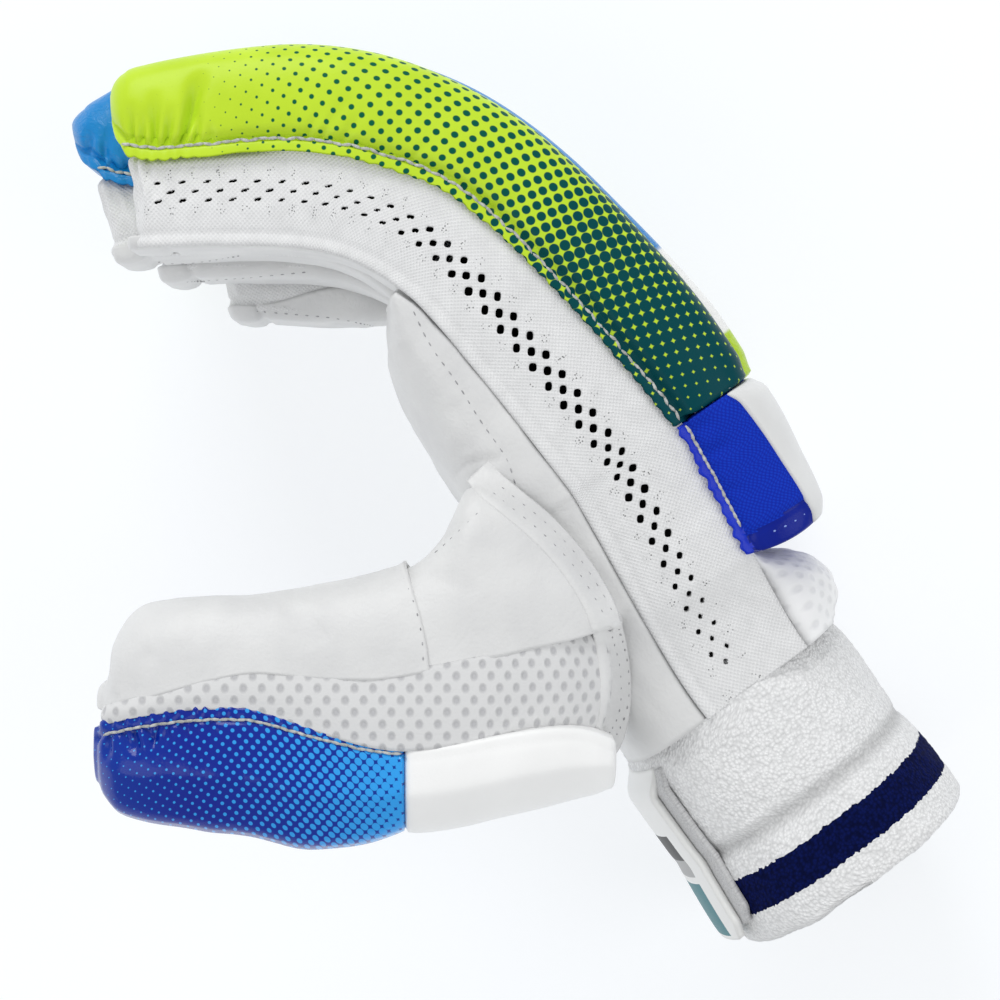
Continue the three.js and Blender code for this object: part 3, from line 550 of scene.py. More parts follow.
# Materials.
def colour(code):
    """sRGB hex to linear."""
    parts = [int(code[i : i + 2], 16) / 255 for i in (1, 3, 5)]
    return (*(c / 12.92 if c <= 0.04045 else ((c + 0.055) / 1.055) ** 2.4 for c in parts), 1)


def add(tree, kind, links=None, stops=None, **settings):
    """Adds a shader node with its settings. links gives its inputs: sockets are linked, values are set."""
    node = tree.nodes.new("ShaderNode" + kind)
    for key, value in settings.items():
        setattr(node, key, value)
    for key, value in (links or {}).items():
        if isinstance(value, bpy.types.NodeSocket):
            tree.links.new(value, node.inputs[key])
        else:
            node.inputs[key].default_value = value
    if stops:
        elements = node.color_ramp.elements
        while len(elements) < len(stops):
            elements.new(0.5)
        for element, (at, value) in zip(elements, stops):
            element.position = at
            element.color = colour(value) if isinstance(value, str) else (value, value, value, 1)
    return node


def maths(tree, operation, *values):
    """The result of a maths node."""
    return add(tree, "Math", dict(enumerate(values)), operation=operation).outputs[0]


def tinted(tree, share, base, other):
    """The base colour with a share of the other in it."""
    return add(tree, "Mix", {0: share, 6: base, 7: other}, data_type="RGBA").outputs[2]


def ramp(tree, value, stops):
    """Colours or values that follow a value from 0 to 1."""
    return add(tree, "ValToRGB", {0: value}, stops=stops).outputs[0]


def coloured(tree, shader, tone):
    tree.links.new(tone, shader.inputs["Base Color"])


def surface_finish(name, roughness, **sockets):
    """A material with its shader, and the node of its UV map in millimetres."""
    material = bpy.data.materials.new(name)
    material.use_nodes = True
    tree = material.node_tree
    tree.nodes.clear()
    shader = add(tree, "BsdfPrincipled", {"Roughness": roughness})
    for key, value in sockets.items():
        shader.inputs[key.replace("_", " ")].default_value = value
    output = add(tree, "OutputMaterial")
    tree.links.new(shader.outputs[0], output.inputs[0])
    return material, tree, shader, add(tree, "UVMap", uv_map="cloth").outputs[0]


def bumped(tree, shader, height, distance, strength=1.0, normal=None):
    """Raises the surface by height, where 1 is distance in millimetres."""
    links = {"Height": height, "Distance": distance / 1000, "Strength": strength}
    if normal is not None:
        links["Normal"] = normal
    bump = add(tree, "Bump", links)
    tree.links.new(bump.outputs[0], shader.inputs["Normal"])
    return bump.outputs[0]


def halftone(tree, uv, turn, pitch, radius, soft=14, pitch_across=None):
    """Dots on a lattice, whose radius in pitches is the socket radius: 1 in a dot and 0 outside."""
    scale = (1 / pitch, 1 / (pitch_across or pitch), 1)
    turned = add(tree, "VectorRotate", {"Vector": uv, "Angle": math.radians(turn)}, rotation_type="Z_AXIS")
    cells = add(tree, "VectorMath", {0: turned.outputs[0], 1: scale}, operation="MULTIPLY")
    part = add(tree, "VectorMath", {0: cells.outputs[0]}, operation="FRACTION")
    centred = add(tree, "VectorMath", {0: part.outputs[0], 1: (0.5, 0.5, 0)}, operation="SUBTRACT")
    away = add(tree, "VectorMath", {0: centred.outputs[0]}, operation="LENGTH")
    inside = maths(tree, "SUBTRACT", radius, away.outputs["Value"])
    edge = {0: inside, 1: soft, 2: 0.5}
    return add(tree, "Math", edge, operation="MULTIPLY_ADD", use_clamp=True).outputs[0]


def along_of(tree, uv, low, high):
    """0 to 1 as the distance along the piece goes from low to high."""
    split = add(tree, "SeparateXYZ", {0: uv})
    return add(tree, "MapRange", {"Value": split.outputs[0], "From Min": low, "From Max": high}).outputs[0]


def fine_grain(tree, uv, size, detail=3):
    """Noise with features of size millimetres."""
    return add(tree, "TexNoise", {"Vector": uv, "Scale": 1 / size, "Detail": detail}).outputs[0]


def printed_roll():
    """Smooth polyurethane, lime, screen printed with dark dots that grow along the roll until lime stars are
    left. A soft broad highlight and a very fine grain. The ink is duller than the film."""
    material, tree, shader, uv = surface_finish("polyurethane_lime_print", 0.34)
    along = along_of(tree, uv, 0, ROLL_PRINT)
    radius = ramp(tree, along, DOT_GROWTH)
    dots = halftone(tree, uv, DOT_TURN, DOT_PITCH, radius)
    ink = ramp(tree, along, [(0.3, "#0a6242"), (0.5, "#055447"), (0.62, "#034a4c"), (1, "#02434c")])
    lime = ramp(tree, fine_grain(tree, uv, 14), [(0.3, "#bcdc2c"), (0.7, "#c6e636")])
    coloured(tree, shader, tinted(tree, dots, lime, ink))
    shine = add(tree, "MapRange", {"Value": dots, "To Min": 0.2, "To Max": 0.08})
    tree.links.new(shine.outputs[0], shader.inputs["Specular IOR Level"])
    bumped(tree, shader, fine_grain(tree, uv, 0.55), 0.03)
    return material


def azure_roll(name, reach):
    """Smooth polyurethane, azure over the finger and white on the back of the hand, with a lime end.
    Glossy, with the small creases of a thin film on foam."""
    material, tree, shader, uv = surface_finish(name, 0.28, Specular_IOR_Level=0.35)
    white, lime = 1 - WHITE_END / reach, 1 - LIME_END / reach
    film = ramp(
        tree, along_of(tree, uv, 0, reach),
        [(0, "#1486cf"), (white, "#1380c8"), (white + 0.004, "#f2f2f0"), (lime, "#f2f2f0"),
         (lime + 0.004, "#b3d420")],
    )
    coloured(tree, shader, film)
    creases = add(tree, "TexNoise", {"Vector": uv, "Scale": 0.42, "Detail": 5.0, "Distortion": 1.2})
    bumped(tree, shader, creases.outputs[0], 0.35)
    return material


def knit_finish(name="polyester_knit", specks=False):
    """White warp-knitted polyester: matt, with rows of tiny stitches. specks adds groups of unpunched
    pinholes beside the rows of holes."""
    material, tree, shader, uv = surface_finish(name, 0.9, Sheen_Weight=0.1, Sheen_Roughness=0.6)
    cells = halftone(tree, uv, 45, 0.8, 0.36, soft=3)  # stitches of 0.6 mm, drawn a third coarser to show
    tone = ramp(tree, fine_grain(tree, uv, 5), [(0.25, "#e4e4e4"), (0.75, "#f1f1f1")])
    shaded = tinted(tree, cells, tone, colour("#d2d2d3"))
    faint = tinted(tree, 0.35, tone, shaded)
    down = maths(tree, "SUBTRACT", 1.0, cells)
    fuzz = fine_grain(tree, uv, 0.5)
    height = maths(tree, "MULTIPLY_ADD", fuzz, 0.5, down)
    if specks:
        spot = (-FIRST_HOLE, 0, 0)
        placed = add(tree, "VectorMath", {0: uv, 1: spot}, operation="ADD").outputs[0]
        group = halftone(tree, placed, 0, HOLE_PITCH, 0.17, 8, 4 * HOLE_ROW_SPACING)
        pins = add(tree, "TexVoronoi", {"Vector": uv, "Scale": 1.5, "Randomness": 0.6}).outputs["Distance"]
        small = maths(tree, "LESS_THAN", pins, 0.3)
        across = maths(tree, "ABSOLUTE", add(tree, "SeparateXYZ", {0: uv}).outputs[1])
        near = maths(tree, "LESS_THAN", across, 3 * HOLE_ROW_SPACING)
        kept = maths(tree, "MULTIPLY", maths(tree, "MULTIPLY", group, small), near)
        share = maths(tree, "MULTIPLY", kept, 0.75)
        faint = tinted(tree, share, faint, colour("#3c3c3e"))
    coloured(tree, shader, faint)
    bumped(tree, shader, height, 0.1)
    return material


def lining_finish():
    """Dark brushed nylon on the inside of the hand: nearly black, so holes read as dark."""
    material, tree, shader, uv = surface_finish("charcoal_lining", 0.95)
    coloured(tree, shader, ramp(tree, fine_grain(tree, uv, 0.6), [(0.2, "#141414"), (0.8, "#242424")]))
    return material


def leather_finish(name="white_leather", low="#d9d9d9", high="#e6e6e5"):
    """White full-grain sheepskin: soft satin, with fine pores, faint long creases and greyer patches."""
    material, tree, shader, uv = surface_finish(name, 0.5, Sheen_Weight=0.05)
    coloured(tree, shader, ramp(tree, fine_grain(tree, uv, 22), [(0.3, low), (0.7, high)]))
    pores = add(tree, "TexVoronoi", {"Vector": uv, "Scale": 1.1, "Randomness": 1.0}).outputs["Distance"]
    first = bumped(tree, shader, pores, 0.05)
    creases = add(tree, "TexNoise", {"Vector": uv, "Scale": 0.12, "Detail": 6.0, "Roughness": 0.62})
    bumped(tree, shader, creases.outputs[0], 0.96, 0.5, first)
    return material


def air_mesh_finish(name="air_mesh", pitch=4.2, size=0.17, depth=0.3, light="#dddddd", dark="#c0c0c2"):
    """White spacer mesh: matt threads round staggered oval dimples."""
    material, tree, shader, uv = surface_finish(name, 0.85, Sheen_Weight=0.2)
    cells = halftone(tree, uv, 0, pitch, size, soft=7, pitch_across=pitch * 1.3)
    shifted = add(tree, "VectorMath", {0: uv, 1: (pitch / 2, pitch * 0.65, 0)}, operation="ADD").outputs[0]
    others = halftone(tree, shifted, 0, pitch, size, soft=7, pitch_across=pitch * 1.3)
    holes = maths(tree, "MAXIMUM", cells, others)
    coloured(tree, shader, tinted(tree, holes, colour(light), colour(dark)))
    down = maths(tree, "SUBTRACT", 1.0, holes)
    fuzz = fine_grain(tree, uv, 0.7)
    height = maths(tree, "MULTIPLY_ADD", fuzz, 0.3, down)
    bumped(tree, shader, height, depth)
    return material


def printed_thumb():
    """Patent polyurethane, royal blue, printed with azure dots that grow until royal dots are left."""
    material, tree, shader, uv = surface_finish("polyurethane_blue_print", 0.16, Specular_IOR_Level=0.3)
    along = along_of(tree, uv, 0, THUMB_PRINT)
    radius = ramp(tree, along, THUMB_DOT_GROWTH)
    dots = halftone(tree, uv, THUMB_DOT_TURN, THUMB_DOT_PITCH, radius, soft=12)
    ground = ramp(tree, along, [(0, "#06349e"), (0.3, "#0a2392"), (0.7, "#0a2c98"), (1, "#0c3a96")])
    coloured(tree, shader, tinted(tree, dots, ground, colour("#31a0ee")))
    bumped(tree, shader, fine_grain(tree, uv, 0.8), 0.04)
    return material


def plain_pu(name, tone, other, roughness=0.4, shine=0.4):
    """Plain smooth polyurethane film on foam: an even colour with a soft highlight and a very fine grain."""
    material, tree, shader, uv = surface_finish(name, roughness, Specular_IOR_Level=shine)
    coloured(tree, shader, ramp(tree, fine_grain(tree, uv, 16), [(0.3, tone), (0.7, other)]))
    bumped(tree, shader, fine_grain(tree, uv, 0.7), 0.05)
    return material


def royal_weave():
    """Royal blue plain-woven polyester: a fine matt weave that shows as tiny light and dark threads."""
    material, tree, shader, uv = surface_finish("royal_blue_polyester", 0.75, Specular_IOR_Level=0.15)
    threads = halftone(tree, uv, 45, 0.8, 0.36, soft=3)  # threads of 0.4 mm, drawn twice as coarse to show
    coloured(tree, shader, tinted(tree, threads, colour("#0928aa"), colour("#0d3bc2")))
    bumped(tree, shader, threads, 0.08)
    return material


def terry_finish():
    """White cotton terry: upright loops of about 1 mm, with a navy band whose edges follow the loops, and
    painted shade that greys the white along the elastic's groove.
    """
    material, tree, shader, uv = surface_finish("cotton_terry", 0.95, Specular_IOR_Level=0.1)
    loops = add(tree, "TexVoronoi", {"Vector": uv, "Scale": 1.15, "Randomness": 1.0}).outputs["Distance"]
    split = add(tree, "SeparateXYZ", {0: uv})
    ragged = add(tree, "TexNoise", {"Vector": uv, "Scale": 0.7, "Detail": 1.0}).outputs[0]
    moved = maths(tree, "MULTIPLY_ADD", ragged, 1.6, split.outputs[0])
    inner = maths(tree, "GREATER_THAN", moved, NAVY_BAND[0] + 0.8)
    outer = maths(tree, "LESS_THAN", moved, NAVY_BAND[1] + 0.8)
    band = maths(tree, "MULTIPLY", inner, outer)
    white = ramp(tree, loops, [(0.0, "#ffffff"), (0.75, "#e2e2e2")])
    navy = ramp(tree, loops, [(0.0, "#0a1858"), (0.75, "#030a34")])
    # Painted shade: the white turns grey towards the groove where the elastic draws the cuff in.
    near = maths(tree, "ABSOLUTE", maths(tree, "SUBTRACT", split.outputs[0], GROOVE))
    groove_shade_range = {"Value": near, "From Min": 0.5, "From Max": 3.2, "To Min": 0.4, "To Max": 0}
    groove_shade_map = add(tree, "MapRange", groove_shade_range)
    groove_shaded_white = tinted(tree, groove_shade_map.outputs[0], white, colour("#8e8e8e"))
    coloured(tree, shader, tinted(tree, band, groove_shaded_white, navy))
    bumped(tree, shader, maths(tree, "SUBTRACT", 1.0, loops), 0.4)
    return material


def thread_finish(name, low, high):
    """Spun polyester thread: matt, faintly uneven in tone."""
    material, tree, shader, uv = surface_finish(name, 0.8, Sheen_Weight=0.2)
    place = add(tree, "TexCoord").outputs["Object"]
    strands = add(tree, "TexNoise", {"Vector": place, "Scale": 900.0}).outputs[0]
    coloured(tree, shader, ramp(tree, strands, [(0.3, low), (0.7, high)]))
    return material


def felt_finish():
    """Grey hook-and-loop felt: matt and fuzzy."""
    material, tree, shader, uv = surface_finish("grey_loop_felt", 0.97, Sheen_Weight=0.4)
    fuzz = fine_grain(tree, uv, 0.5, 5)
    coloured(tree, shader, ramp(tree, fuzz, [(0.3, "#bcbcbd"), (0.7, "#e2e2e2")]))
    bumped(tree, shader, fuzz, 0.5)
    return material


def strap_finish():
    """White coated leather, printed across with plain bands of grey, black and teal near its outer end."""
    material, tree, shader, uv = surface_finish("white_strap_leather", 0.45)
    split = add(tree, "SeparateXYZ", {0: uv})
    bands = add(
        tree, "ValToRGB", {0: along_of(tree, uv, 0, STRAP_LENGTH)},
        stops=[(0, "#eeeeec"), (0.34, "#101113"), (0.5, "#a8a8a8"), (0.6, "#eeeeec"), (0.64, "#08727c"),
               (0.95, "#eeeeec")],
    )
    bands.color_ramp.interpolation = "CONSTANT"
    reach = maths(tree, "ABSOLUTE", split.outputs[1])
    inside = maths(tree, "LESS_THAN", reach, PRINTED_STRAP)
    coloured(tree, shader, tinted(tree, inside, colour("#eeeeec"), bands.outputs[0]))
    bumped(tree, shader, fine_grain(tree, uv, 0.6), 0.05)
    return material


ROLL_PRINT = 170  # how far from a roll's tip its dots grow
DOT_TURN = 25
DOT_PITCH = 2.65
# Share of that way, and the dots' radius as a share of their pitch.
DOT_GROWTH = [
    (0.12, 0), (0.16, 0.06), (0.26, 0.19), (0.38, 0.25), (0.47, 0.3), (0.56, 0.37), (0.62, 0.44), (0.66, 0.5),
    (0.77, 0.54), (0.87, 0.6), (0.94, 0.66),
]
THUMB_PRINT = 75
THUMB_DOT_TURN = 35
THUMB_DOT_PITCH = 1.9
THUMB_DOT_GROWTH = [
    (0.04, 0.07), (0.25, 0.16), (0.45, 0.24), (0.62, 0.33), (0.78, 0.43), (0.9, 0.52), (1, 0.62),
]
WHITE_END = 34  # how far the middle rolls are white, and then lime, at their wrist ends
LIME_END = 9.5
PRINTED_STRAP = 29.0  # half the width of the strap's print
NAVY_BAND = (36.5, 46)
GROOVE = 28.7  # where the cuff is drawn in by elastic

LIME_PRINT = printed_roll()
AZURE_MIDDLE = azure_roll("polyurethane_azure", length_of(MIDDLE) + MIDDLE["tip"] + ROLL_END * HAND_LENGTH)
AZURE_RING = azure_roll("polyurethane_azure_shorter", length_of(RING) + RING["tip"] + ROLL_END * HAND_LENGTH)
KNIT = knit_finish()
PUNCHED_KNIT = knit_finish("perforated_polyester_knit", specks=True)
LINING = lining_finish()
SUEDE = leather_finish("suede_side_of_leather", "#b9b9b7", "#cbcbc9")
WHITE_LEATHER = leather_finish()
AIR_MESH = air_mesh_finish()
PUFF_MESH = air_mesh_finish("puff_mesh", 5.2, 0.18, 0.16, "#f8f8f8", "#ebebec")
BLUE_PRINT = printed_thumb()
WHITE_PU = plain_pu("white_polyurethane", "#f2f2f1", "#f7f7f6")
# The hand pad's cover: the same white polyurethane as the guard, painted darker for the shade that lies on
# it.
SHADED_COVER_PU = plain_pu("white_polyurethane_painted_shade", "#dededd", "#e6e6e5")
ROYAL_PU = plain_pu("royal_polyurethane_band", "#0a1c86", "#0d2698", 0.25, 0.15)
TUCKED_PU = plain_pu("royal_tucked_edge", "#0b28b8", "#1034c8", 0.3, 0.25)
ROYAL = royal_weave()
TERRY = terry_finish()
GREY_THREAD = thread_finish("grey_thread", "#9c9e9a", "#cfd0cc")
# Thread on the leather seams, painted darker grey for the shade in its stitch holes.
SHADED_THREAD = thread_finish("shaded_thread", "#8c8c8e", "#b8b8ba")
PALE_BLUE_THREAD = thread_finish("pale_blue_thread", "#6f8fe0", "#a9bff0")
FELT = felt_finish()
STRAP = strap_finish()


# The padded rolls over the fingers and knuckles.
def folds(seed, start, end, pitch, deep, long):
    """Gathers in a cover along a seam: where each is, its depth, its length and its lean."""
    rng = random.Random(seed)
    out, at = [], start
    while at < end:
        fade = 1 - 0.6 * (at - start) / (end - start)
        size = deep * fade * rng.uniform(0.6, 1.2), long * fade * rng.uniform(0.5, 1.3)
        out.append((at, *size, rng.uniform(-0.15, 0.55)))
        at += pitch * rng.uniform(0.75, 1.3)
    return out


def gathered(gathers, s, h, width=0.62):
    """How far in a cover lies at a distance along and a height over its seam."""
    inwards = 0
    for at, deep, long, lean in gathers:
        off = (s - at - lean * h) / (width + 0.11 * h)
        if abs(off) < 3:
            inwards += deep * math.exp(-off * off) * (1 - ease(0.35 * long, long, h))
    return -inwards


def spread_of(droop):
    """How far a roll's sides stand out where its stitch line hangs down."""
    return min(1.2, 0.35 * droop)


FLANGE_ROWS = 6
UNDER_ROWS = 8
NOSE = 5.5  # radius of a roll's rounded tip
TAIL = 7


def droop_at(finger, d):
    """How far a roll's stitch line hangs down at a distance from its fingertip."""
    return finger["droop"] * column(DROOP, "hang", d)


def roll_cover(finger, gathers):
    """A roll from its rounded tip, where the cover closes on a point, to its blunt end at the knuckles."""
    columns, lines = 260, 102
    place = PLACE[finger["name"]]
    length, middle, overhang = length_of(finger), middle_of(finger), finger["tip"]
    total = overhang + length + ROLL_END * HAND_LENGTH
    dome_rows = lines - 2 * FLANGE_ROWS - UNDER_ROWS
    outer = [finger is INDEX, finger is LITTLE]
    rings = []
    for i in range(columns + 1):
        share = min(1, i / (columns - TAIL))
        d = total * (0.72 * share + 0.28 * share * share)
        tail = min(1, (columns - i) / TAIL)
        u = d - overhang
        u = u / length - 1 if u < length else (u - length) / HAND_LENGTH
        round_off = math.sqrt(max(0, 1 - max(0, 1 - d / NOSE) ** 2))
        size = round_off * tail**0.4
        past = math.sqrt(max(0, 1 - tail**0.8)) * 0.9 / HAND_LENGTH
        slim = column(HAND, "roll", u) * (1 - 0.05 * ease(total - 4, total, d))
        slim += finger["heel"] * ease(0.09, 0.42, u)
        over = max(d, 0.8 * NOSE) / ROLL_HEIGHT
        high = ROLL_HEIGHT * column(ROLL_TIP, "high", over) * slim
        wide = ROLL_WIDTH / 2 * column(ROLL_TIP, "wide", over)
        closed = d < overhang - 0.4
        tucked = 1 - ease(16, 24, d)
        wander = noise.noise((d * 0.2, finger["slot"], 0))
        wave = 0.22 * ease(48, 66, d) * math.sin(2 * math.pi * d / 3.7 + 1.5 * wander)
        wave -= 0.6 * tucked * (abs(math.sin(math.pi * d / 2.9 + 1.5 * wander)) - 0.6)
        wave += 0.25 * noise.noise((d * 0.15, 5 + finger["slot"], 0))

        def under(z):
            if closed:
                return -LIP_DROP
            rise = arch_at(middle + z, max(0, u)) - lifted(finger["lift"], max(0, u))
            return STITCH_LINE + (0 if u < 0 else max(0, rise)) - 0.1

        def lip(side):
            if closed or u < -0.03 or outer[side]:
                return -LIP_DROP
            return mix(-LIP_DROP, under((wide - 1) * (1, -1)[side]), ease(-0.03, 0, u))

        dome = []
        for k in range(61):
            angle = math.pi * k / 60
            up, across = power(math.sin(angle), 0.72), power(math.cos(angle), 0.62)
            dome.append((STITCH_LINE + high * up, wide * across))
        dome[0] = (STITCH_LINE, wide - 0.9)
        dome[-1] = (STITCH_LINE, -wide + 0.9)
        dome, reach = even(dome, dome_rows)
        ring = []
        frill = 0.5 * tucked * (abs(math.sin(math.pi * d / 2.9 + 1.5 * wander)) - 0.5)
        droop = droop_at(finger, d - overhang) * ease(overhang - 1, overhang + 2, d)
        spread = spread_of(droop)
        for k in range(FLANGE_ROWS):
            t = k / FLANGE_ROWS
            n = mix(lip(0) + wave, STITCH_LINE, t)
            z = wide - 0.25 - 0.65 * t**2 + spread + frill * (1 - t * t)
            ring.append((n - droop, z, n - STITCH_LINE, 0))
        for k, (n, z) in enumerate(dome):
            t = reach * k / dome_rows
            sides = (t, gathers[0]), (reach - t, gathers[1])
            h, own = min(sides, key=lambda x: x[0])
            hang = 1 - ease(0, 16, h)
            sunk = 3.6 * (1 - ease(0, 24, d)) * (1 - hang) if finger is MIDDLE else 0
            n, z = n - droop * hang - sunk, z + math.copysign(spread * hang, z)
            pull = gathered(own, d, h) * ease(-0.5, 1.5, h)
            soft = 0.3 * noise.noise((d * 0.05, t * 0.06, finger["slot"]))
            rounding = 0.9 * bell(h, 0, 3.2)
            ring.append((n, z, t, pull + soft - 0.35 * math.exp(-h * h / 1.2) - rounding))
        for k in range(1, FLANGE_ROWS + 1):
            t = 1 - k / FLANGE_ROWS
            n = mix(lip(1) + wave, STITCH_LINE, t)
            z = -wide + 0.25 + 0.65 * t**2 - spread - frill * (1 - t * t)
            ring.append((n - droop, z, reach + STITCH_LINE - n, 0))
        inner = [(lip(1) + wave, -wide + 1.3), (under(-wide + 1.5), -wide + 1.6), (under(0), 0)]
        inner += [(under(wide - 1.5), wide - 1.6), (lip(0) + wave, wide - 1.3), (lip(0) + wave, wide - 0.25)]
        inner, _ = even([(ring[-1][0], ring[-1][1]), *inner], UNDER_ROWS)
        ring += [(n, z, reach + 8 + k, 0) for k, (n, z) in enumerate(inner[1:-1])]
        ring.append((*ring[0][:2], reach + 16, 0))
        centre = mix(STITCH_LINE + high * 0.35, 11.5, 1 - ease(0, NOSE, d))
        blend = ease(0.3, 1, size)
        rings.append(
            [(u + past, mix(centre, n, size), middle + z * size, d, t, out * blend) for n, z, t, out in ring]
        )

    def surface(i, j):
        u, n, z, d, t, out = rings[i][j]
        return place(u, n, z), d, t, out

    return skin(finger["name"], columns, len(rings[0]) - 1, surface)


def roll_seam(finger, side, pitch, seed):
    """Seats of the thread along a roll's stitch line: side 1 is towards the thumb."""
    place = PLACE[finger["name"]]
    total = length_of(finger) + ROLL_END * HAND_LENGTH
    line = []
    for k in range(241):
        d = mix(0.6, total - 0.5, k / 240)
        u = share_at(finger, d)
        wide = ROLL_WIDTH / 2 * column(ROLL_TIP, "wide", (d + finger["tip"]) / ROLL_HEIGHT) - 0.75
        droop = droop_at(finger, d)
        sway = 0.45 * noise.noise((d * 0.25, seed, 0)) + 0.3 * noise.noise((d * 0.9, seed, 3))
        n = STITCH_LINE - droop + sway
        n -= 0.9 * ease(60, 130, d) * (1 - 0.5 * ease(total - 30, total, d))
        line.append(metres(place(u, n, middle_of(finger) + side * (wide + spread_of(droop)))))
    return side_seats(line, side, pitch, 0.22, seed)


GATHERS = {
    "index": (
        [(5, 2.0, 10, 0.1), (7.6, 1.8, 9, 0.15), (10.6, 2.4, 12, 0.1), (13.6, 2.0, 9, 0.2),
         (17.2, 3.1, 17, 0.35), (20.6, 1.9, 9, 0.1), (24, 0.8, 5, 0), (46, 0.5, 9, 0.4),
         (49, 0.55, 12, 0.5), (54, 0.5, 10, 0.45), (70, 0.3, 9, 0.4), (92, 0.25, 8, 0.3)],
        folds(12, 4, 24, 3.1, 1.2, 9),
    ),
    "middle": (folds(21, 3, 26, 3.0, 1.7, 11), folds(22, 3, 24, 3.1, 1.2, 9)),
    "ring": (folds(31, 3, 26, 3.0, 1.4, 13), folds(32, 3, 24, 3.1, 1.2, 9)),
    "little": (folds(41, 3, 24, 3.0, 1.4, 10), folds(42, 3, 24, 3.1, 1.4, 10)),
}
for finger in FINGERS:
    name = finger["name"]
    lime = finger in (INDEX, LITTLE)
    film = LIME_PRINT if lime else AZURE_MIDDLE if finger is MIDDLE else AZURE_RING
    cover = roll_cover(finger, GATHERS[name])
    finished(f"{name}_roll_cover", cover, [film], [f"{name}_roll"])
    for side in (1, -1):
        label = "thumbward" if side > 0 else "littleward"
        seats = roll_seam(finger, side, 2.2, finger["slot"] * 2 + side)
        cord(f"{name}_roll_thread_{label}", seats, 0.45)


# Knitted panels down the sides of the fingers.
def panel_path(finger, ends, step):
    """A side panel's line round a fingertip, from the thumb side's root to the little side's. For each point
    it gives the distance from the tip, the place across, the outward direction and the length along it."""
    half, radius = FINGER_PITCH / 2 - SIDE_GAP, 5.2
    line = [(ends[0], half)]
    for k in range(9):
        angle = math.pi / 2 * k / 8
        line.append((radius - radius * math.sin(angle), half - radius + radius * math.cos(angle)))
    line += [(d, -z) for d, z in reversed(line[1:])] + [(ends[1], -half)]
    total = sum(math.dist(a, b) for a, b in zip(line, line[1:]))
    count = round(total / step)
    spots, total = even(line, count)
    out = []
    for k, (d, z) in enumerate(spots):
        a, b = spots[max(0, k - 1)], spots[min(count, k + 1)]
        along = math.dist(a, b) or 1
        out.append((d, z, (b[1] - a[1]) / along, -(b[0] - a[0]) / along, ends[0] - total * k / count))
    return out


def hole_line(finger, u):
    return -side_depth(finger, u) * column(HAND, "holes", u)


def side_panel(finger, ends, step, lines, holes=False):
    """The knit down both sides of a finger and round its tip. holes gives fine even rows where holes go."""
    place = PLACE[finger["name"]]
    middle = middle_of(finger)
    path = panel_path(finger, ends, step)

    def level(j, u, top):
        depth = side_depth(finger, u)
        if not holes:
            return mix(top, -depth, j / lines)
        centre, fine = hole_line(finger, u), HOLE_ROW_SPACING / 7
        low, high = 10, lines - 10
        if j < low:
            return mix(top, centre + fine * (lines / 2 - low), j / low)
        if j > high:
            return mix(centre + fine * (lines / 2 - high), -depth, (j - high) / (lines - high))
        return centre + fine * (lines / 2 - j)

    def surface(i, j):
        d, z, along, across, s = path[i]
        u = share_at(finger, d)
        depth = side_depth(finger, u)
        top = GUSSET_TOP - droop_at(finger, d)
        n = level(j, u, top)
        down = (top - n) / (top + depth)
        out = GUSSET_BULGE * column(SIDE_CURVE, "out", down)
        tuck = 2.6 * ease(top - 3.4, top - 0.6, n) * (1 - ease(28, 40, d))
        narrow = 1 - 0.06 * (1 - ease(0, 10, d))
        length = length_of(finger)
        shift = along * (out + tuck + finger["back"])
        at = u - shift / (length if u < 0 else HAND_LENGTH)
        z = z * narrow + across * (out - tuck)
        edge = 0.75 * bell(n + depth, 1.0, 1.2) - 0.4 * bell(n + depth, 2.9, 0.6)
        pucker = 0.0
        if d < 22:
            fade = 1 - d / 22
            pucker = fade * 0.9 * noise.noise((s * 0.35, n * 0.12, finger["slot"] * 3))
            pucker += fade * 0.6 * bell(n, hole_line(finger, u), 2.4) * math.sin(s * 1.5)
            pucker += fade * 0.5 * bell(top - n, 4, 3) * math.sin(s * 1.9)
        soft = 0.3 * noise.noise((s * 0.05, n * 0.1, 7 + finger["slot"]))
        return place(at, n, middle + z), s, n - (hole_line(finger, u) if holes else 0), edge + pucker + soft

    return skin("panel", len(path) - 1, lines, surface)


def perforate(bm, centres):
    """Opens holes: corners near a hole's outline move onto it, and the faces within go. Each hole has a place
    in the UV map, half its size along and down, and its slant."""
    cloth = bm.loops.layers.uv.active
    grid = {}
    for k, (s, t, *_) in enumerate(centres):
        grid.setdefault((round(s / 4), round(t / 4)), []).append(k)

    def nearest(s, t):
        best = None
        for a in (-1, 0, 1):
            for b in (-1, 0, 1):
                for k in grid.get((round(s / 4) + a, round(t / 4) + b), ()):
                    cs, ct, hs, ht, slant = centres[k]
                    x = (s - cs) * math.cos(slant) + (t - ct) * math.sin(slant)
                    y = (t - ct) * math.cos(slant) - (s - cs) * math.sin(slant)
                    f = (abs(x / hs) ** 3 + abs(y / ht) ** 3) ** (1 / 3)
                    if best is None or f < best[0]:
                        best = (f, cs, ct)
        return best

    inside = {}
    moves = {}
    for v in bm.verts:
        s, t = v.link_loops[0][cloth].uv
        found = nearest(s, t)
        if not found or found[0] > 1.3:
            continue
        f, cs, ct = found
        inside[v] = (cs, ct)
        if f > 0.62:
            moves[v] = (s, t, cs, ct, f)
    for v, (s, t, cs, ct, f) in moves.items():
        goal = (cs + (s - cs) / f, ct + (t - ct) / f)
        shift = solve_move(v, cloth, goal)
        if shift is not None:
            v.co += shift
            for loop in v.link_loops:
                loop[cloth].uv = goal
    gone = [face for face in bm.faces if len({inside.get(v, v) for v in face.verts}) == 1]
    bmesh.ops.delete(bm, geom=gone, context="FACES")


